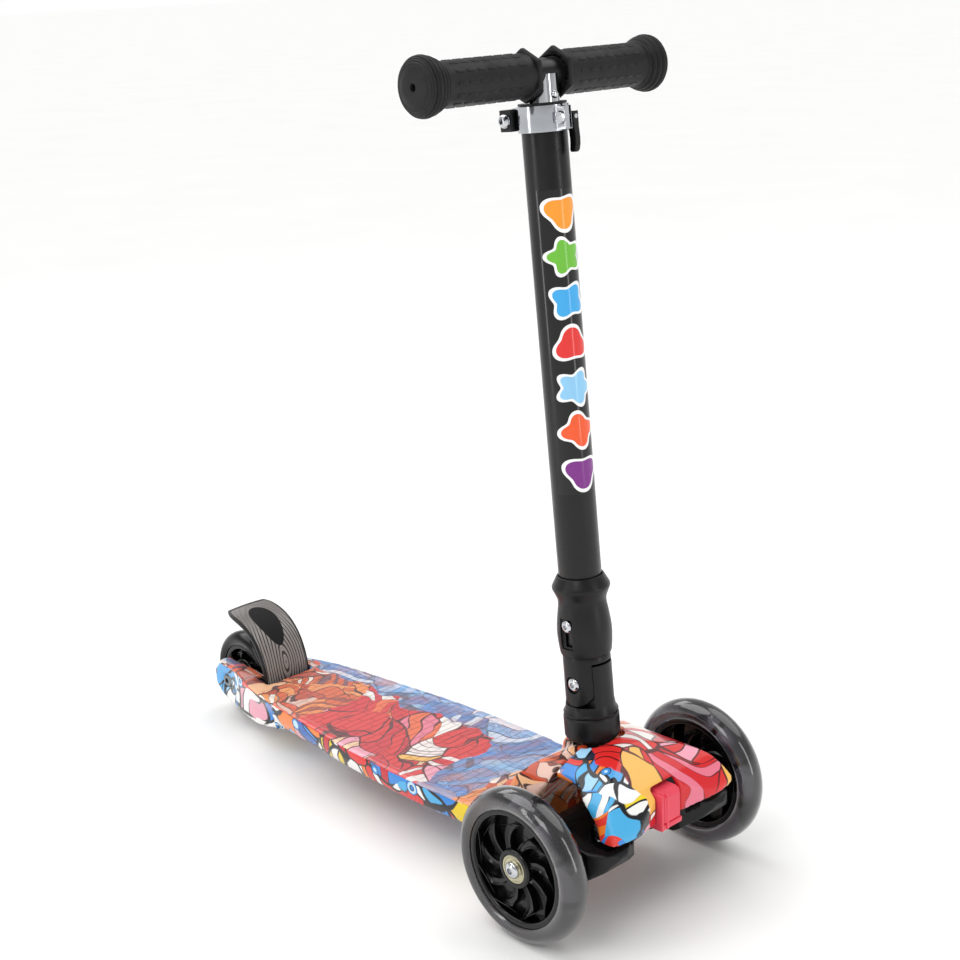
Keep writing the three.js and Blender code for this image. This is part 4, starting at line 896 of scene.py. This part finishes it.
tube = turned("tube", [(14.3, 192.5), (16.3, 192.5), (16.3, 592), (14.3, 592), (14.3, 192.5)])
fit(seat(soften(tube, 0.3), COLUMN), "column", powder_coat, "black_paint", "outer_tube")

BAND_LOW, BAND_HIGH = 317, 538
band = turned("sticker_band", [
    (16.32, BAND_LOW), (16.42, BAND_LOW), (16.42, BAND_HIGH), (16.32, BAND_HIGH), (16.32, BAND_LOW),
], 128)
carve(band, block("far_side", (-40, 0, 300), (40, 40, 560)))
wrap = band.data.uv_layers.new(name="wrap")
for loop in band.data.loops:
    co = band.data.vertices[loop.vertex_index].co
    turn = math.atan2(-co.y, -co.x) / math.pi
    wrap.data[loop.index].uv = (turn, (co.z / MM - BAND_LOW) / (BAND_HIGH - BAND_LOW))
seat(band, COLUMN @ Matrix.Rotation(math.radians(2), 4, "Z"))
pick(band)
bpy.ops.object.shade_smooth_by_angle(angle=math.radians(40))
fit(band, "column", sticker(), "black_paint")

# ---- Clamp, bushing, quick release ----
CLAMP, ADJUSTER_Y = 587, 20.5
clamp = turned("clamp_casting", [(16.6, 578), (18.6, 578), (18.6, 596), (16.6, 596), (16.6, 578)])
front_ear = block("front_ear", (-5.5, -26.2, 579), (1.3, -16.9, 595))
rear_ear = block("rear_ear", (-6, 16.9, 579), (8, 25, 595))
carve(clamp, front_ear, rear_ear, how="UNION")
carve(
    clamp,
    rod("bore", 16.6, 570, 610, 96),
    block("split", (-1, -60, 560), (1, 0, 620)),
    cross_rod("front_hole", 2.8, -40, 40, -22, CLAMP),
    cross_rod("rear_hole", 2.8, -40, 40, ADJUSTER_Y, CLAMP),
)
fit(seat(soften(clamp, 0.7, 3), COLUMN), "column", polished_aluminium, "aluminium", "clamp_ring")

bushing = turned("bushing", [(13, 558), (14, 558), (14, 596.3), (17.4, 596.3), (17.4, 597.9), (13, 597.9), (13, 558)])
fit(seat(soften(bushing, 0.3), COLUMN), "column", moulded_nylon, "black_plastic", "tube_bushing")

nut_block = block("adjuster", (-17, 15.5, 579.4), (-6.3, 26.5, 594.6))
carve(nut_block, rod("bore", 18.9, 570, 610, 96))
fit(seat(soften(nut_block, 0.8, 3), COLUMN), "column", moulded_nylon, "black_plastic", "adjuster_block")
screw = dome_bolt("adjuster_cap_screw", 5, 4.6, 2.5, 24)
seat(screw, up_column(-17.3, ADJUSTER_Y, CLAMP) @ TO_RIGHT)
fit(screw, "column", chrome_plate, "chrome", "adjuster_screw")

lever = block("lever_blade", (3.6, -25.5, 583), (8.8, -18.5, 590.6))
grow(lever, (0, 0, -1), [
    ((0.5, 0, -3), (0.8, 1, 1)), ((0.6, 0, -4), (0.85, 1, 1)), ((0.3, 0, -4), (0.95, 1, 1)),
    ((-0.2, 0, -4), (1.0, 1, 1)), ((-0.8, 0, -4), (0.95, 0.95, 1)), ((-0.6, 0, -1.5), (0.7, 0.75, 1)),
])
carve(lever, block("eye_room", (-20, -23.8, 582.8), (30, -20.2, 620)))
fit(seat(soften(lever, 1.3, 4), COLUMN), "lever", polished_abs, "black_plastic", "release_lever")

# ---- Stem and handlebar ----
BAR = 616.9
stem = turned("stem_tube", [(11.2, 300), (12.7, 300), (12.7, BAR), (11.2, BAR), (11.2, 300)])
carve(stem, cross_rod("saddle", 11.3, -60, 60, 0, BAR, 96))
fit(seat(soften(stem, 0.2), COLUMN), "handlebar", chrome_plate, "chrome", "stem")

bar = turned("bar_tube", [(9.5, -113.5), (11, -113.5), (11, 113.5), (9.5, 113.5), (9.5, -113.5)])
fit(seat(soften(bar, 0.2), up_column(0, 0, BAR) @ ALONG_X), "handlebar", powder_coat, "black_paint", "crossbar")

button = turned("snap_pin", [
    (0, 7.4), (4.4, 7.4), (4.4, 8.9), (3, 9.1), (3, 13.2), (2.4, 14.2), (1.2, 14.8), (0, 15),
], 48)
fit(seat(soften(button, 0.15), up_column(0, 0, BAR - 14) @ FORWARD), "snap", chrome_plate, "chrome", "snap_button")


def grip(name):
    """A grip about Z, from its inner flange to its ribbed outer one."""
    ribs = []
    for i in range(4):
        low, radius = 97.6 + i * 3.7, (16.9, 18.6, 20, 20.8)[i]
        ribs += [(radius - 0.9, low), (radius, low + 0.8), (radius, low + 2.3), (radius - 0.9, low + 3.1)]
    body = turned(name, [
        (11.3, 13), (15.5, 13), (15.5, 20), (15.6, 60), (15.5, 96.5), *ribs, (20.6, 112.6), (19.9, 113.5),
        (11.3, 113.5), (11.3, 13),
    ])
    soften(body, 0.35)
    collar = rod("collar", 19.2, 13, 17.2, 6)
    seat(soften(collar, 1.6, 4), Matrix.Rotation(math.radians(30), 4, "Z"))
    pads = []
    # Rows of short raised dashes round the barrel, and a lens of chevrons on the front.
    for row in range(12):
        for column in range(7):
            if row in (2, 3, 4):
                continue
            pad = block("dash", (15.2, -1.2, 26 + column * 9.6), (15.85, 1.2, 33 + column * 9.6))
            pads.append(seat(soften(pad, 0.35, 2), Matrix.Rotation(math.radians(30 * row), 4, "Z")))
    for column in range(9):
        for lean_by in (-1, 1):
            low, high = sorted((0, 4.6 * lean_by))
            arm = block("chevron", (15.0, low, -0.8), (15.9, high, 0.8))
            step = Matrix.Translation((0, 0, (29 + 7.2 * column) * MM))
            tip = Matrix.Rotation(math.radians(35 * lean_by), 4, "X")
            pads.append(seat(arm, Matrix.Rotation(math.radians(90), 4, "Z") @ step @ tip))
    return merge(name, body, collar, *pads)


def end_cap(name):
    cap = turned(name, [
        (0, 99.5), (9.2, 99.5), (9.2, 113.8), (19.4, 113.8), (19, 114.8), (18.1, 114.9), (17.6, 115.8), (16.5, 115.9),
        (15.8, 116.7), (14.4, 116.8), (13.4, 117.5), (9.5, 118.2), (5, 118.5), (3, 118.4), (2.3, 117.2), (2, 114.5),
        (0, 114.5),
    ])
    return soften(cap, 0.15)


for sign, word in ((-1, "right"), (1, "left")):
    place = up_column(0, 0, BAR) @ Matrix.Rotation(sign * math.pi / 2, 4, "Y")
    fit(seat(grip("grip_moulding_" + word), place), "handlebar", grip_rubber, "rubber", "grip_" + word)
    fit(seat(end_cap("end_cap_" + word), place), "handlebar", grip_rubber, "rubber", "bar_plug_" + word)

# ---- Small parts that keep the frame's own shape ----
KEPT = {
    yellow_zinc: ("king_bolt", "king_washer", "king_nut"),
    clear_zinc: ("rear_axle", "rear_axle_nut", "rear_spacer_left", "rear_spacer_right", "wheel_spacer_right",
                 "wheel_spacer_left", "brake_pin"),
    spring_wire: ("centring_spring_right", "centring_spring_left", "brake_spring", "sleeve_spring"),
    chrome_plate: ("release_bolt", "lever_pin"),
}
for material, nodes in KEPT.items():
    for name in nodes:
        data = frame["nodes"][name].data
        data.materials.clear()
        data.materials.append(material)

# ---- Studio ----


def floor_paper():
    """Matt background paper, off-white."""
    material, tree, shader, where = new_finish("off_white_paper", Roughness=0.85)
    fibre = add(tree, "TexNoise", {"Vector": where, "Scale": 3, "Detail": 4})
    shade = add(tree, "ValToRGB", {"Fac": fibre.outputs["Fac"]}, [(0.3, "#f9f9f8"), (0.7, "#fcfcfb")])
    tree.links.new(shade.outputs["Color"], shader.inputs["Base Color"])
    return material


clear_selection()
bpy.ops.mesh.primitive_plane_add(size=80, location=(0, 0, 0))
paper = bpy.context.active_object
paper.name = paper.data.name = "paper"
paper.data.materials.append(floor_paper())

world = bpy.data.worlds.new("studio")
bpy.context.scene.world = world
world.use_nodes = True
sky = world.node_tree
height = add(sky, "SeparateXYZ", {0: add(sky, "TexCoord").outputs["Generated"]})
# White paper round the set, a dim ceiling above it.
wall = add(sky, "ValToRGB", {"Fac": height.outputs["Z"]}, [(0.1, "#ffffff"), (0.35, "#b9b9b9")])
sky.links.new(wall.outputs["Color"], sky.nodes["Background"].inputs["Color"])
sky.nodes["Background"].inputs["Strength"].default_value = 1.0


def softbox(name, place, aim, size, power):
    light = bpy.data.lights.new(name, "AREA")
    light.shape, light.size, light.size_y, light.energy = "RECTANGLE", size[0], size[1], power
    lamp = bpy.data.objects.new(name, light)
    bpy.context.scene.collection.objects.link(lamp)
    lamp.location = place
    lamp.rotation_euler = (Vector(aim) - Vector(place)).to_track_quat("-Z", "Y").to_euler()


softbox("key", (-1.5, -0.6, 1.9), (0, 0, 0.25), (0.9, 0.9), 9)
softbox("strip_left", (-1.7, 0.5, 0.8), (0, -0.2, 0.4), (0.22, 1.6), 5)
softbox("strip_front", (0.5, -1.9, 0.8), (0, -0.2, 0.4), (0.22, 1.6), 5)
softbox("back", (0.6, 1.9, 1.6), (0, 0, 0.3), (1.4, 0.6), 6)
for name, tilt, turn, strength in (("ceiling_left", 30, 200, 1.15), ("ceiling_right", 35, 80, 0.75)):
    lamp = bpy.data.objects.new(name, bpy.data.lights.new(name, "SUN"))
    lamp.data.energy, lamp.data.angle = strength, math.radians(50)
    lamp.rotation_euler = (math.radians(tilt), 0, math.radians(turn))
    bpy.context.scene.collection.objects.link(lamp)
bpy.context.scene.view_settings.view_transform = "Standard"

# ---- Camera: low three-quarter view from the front right ----
camera = bpy.data.objects.new("camera", bpy.data.cameras.new("camera"))
bpy.context.scene.collection.objects.link(camera)
eye = Vector((-853.08 * MM, FLOOR_Y - 784.74 * MM, 689.29 * MM))
aim = Vector((-43.0 * MM, FLOOR_Y + 89.9 * MM, 323.2 * MM))
roll = math.radians(-2.6)
ahead = (aim - eye).normalized()
right = ahead.cross(Vector((0, 0, 1))).normalized()
up = right.cross(ahead)
across = right * math.cos(roll) + up * math.sin(roll)
upward = up * math.cos(roll) - right * math.sin(roll)
camera.matrix_world = Matrix.Translation(eye) @ Matrix((across, upward, -ahead)).transposed().to_4x4()
camera.data.lens, camera.data.sensor_width = 62.7, 36
bpy.context.scene.camera = camera
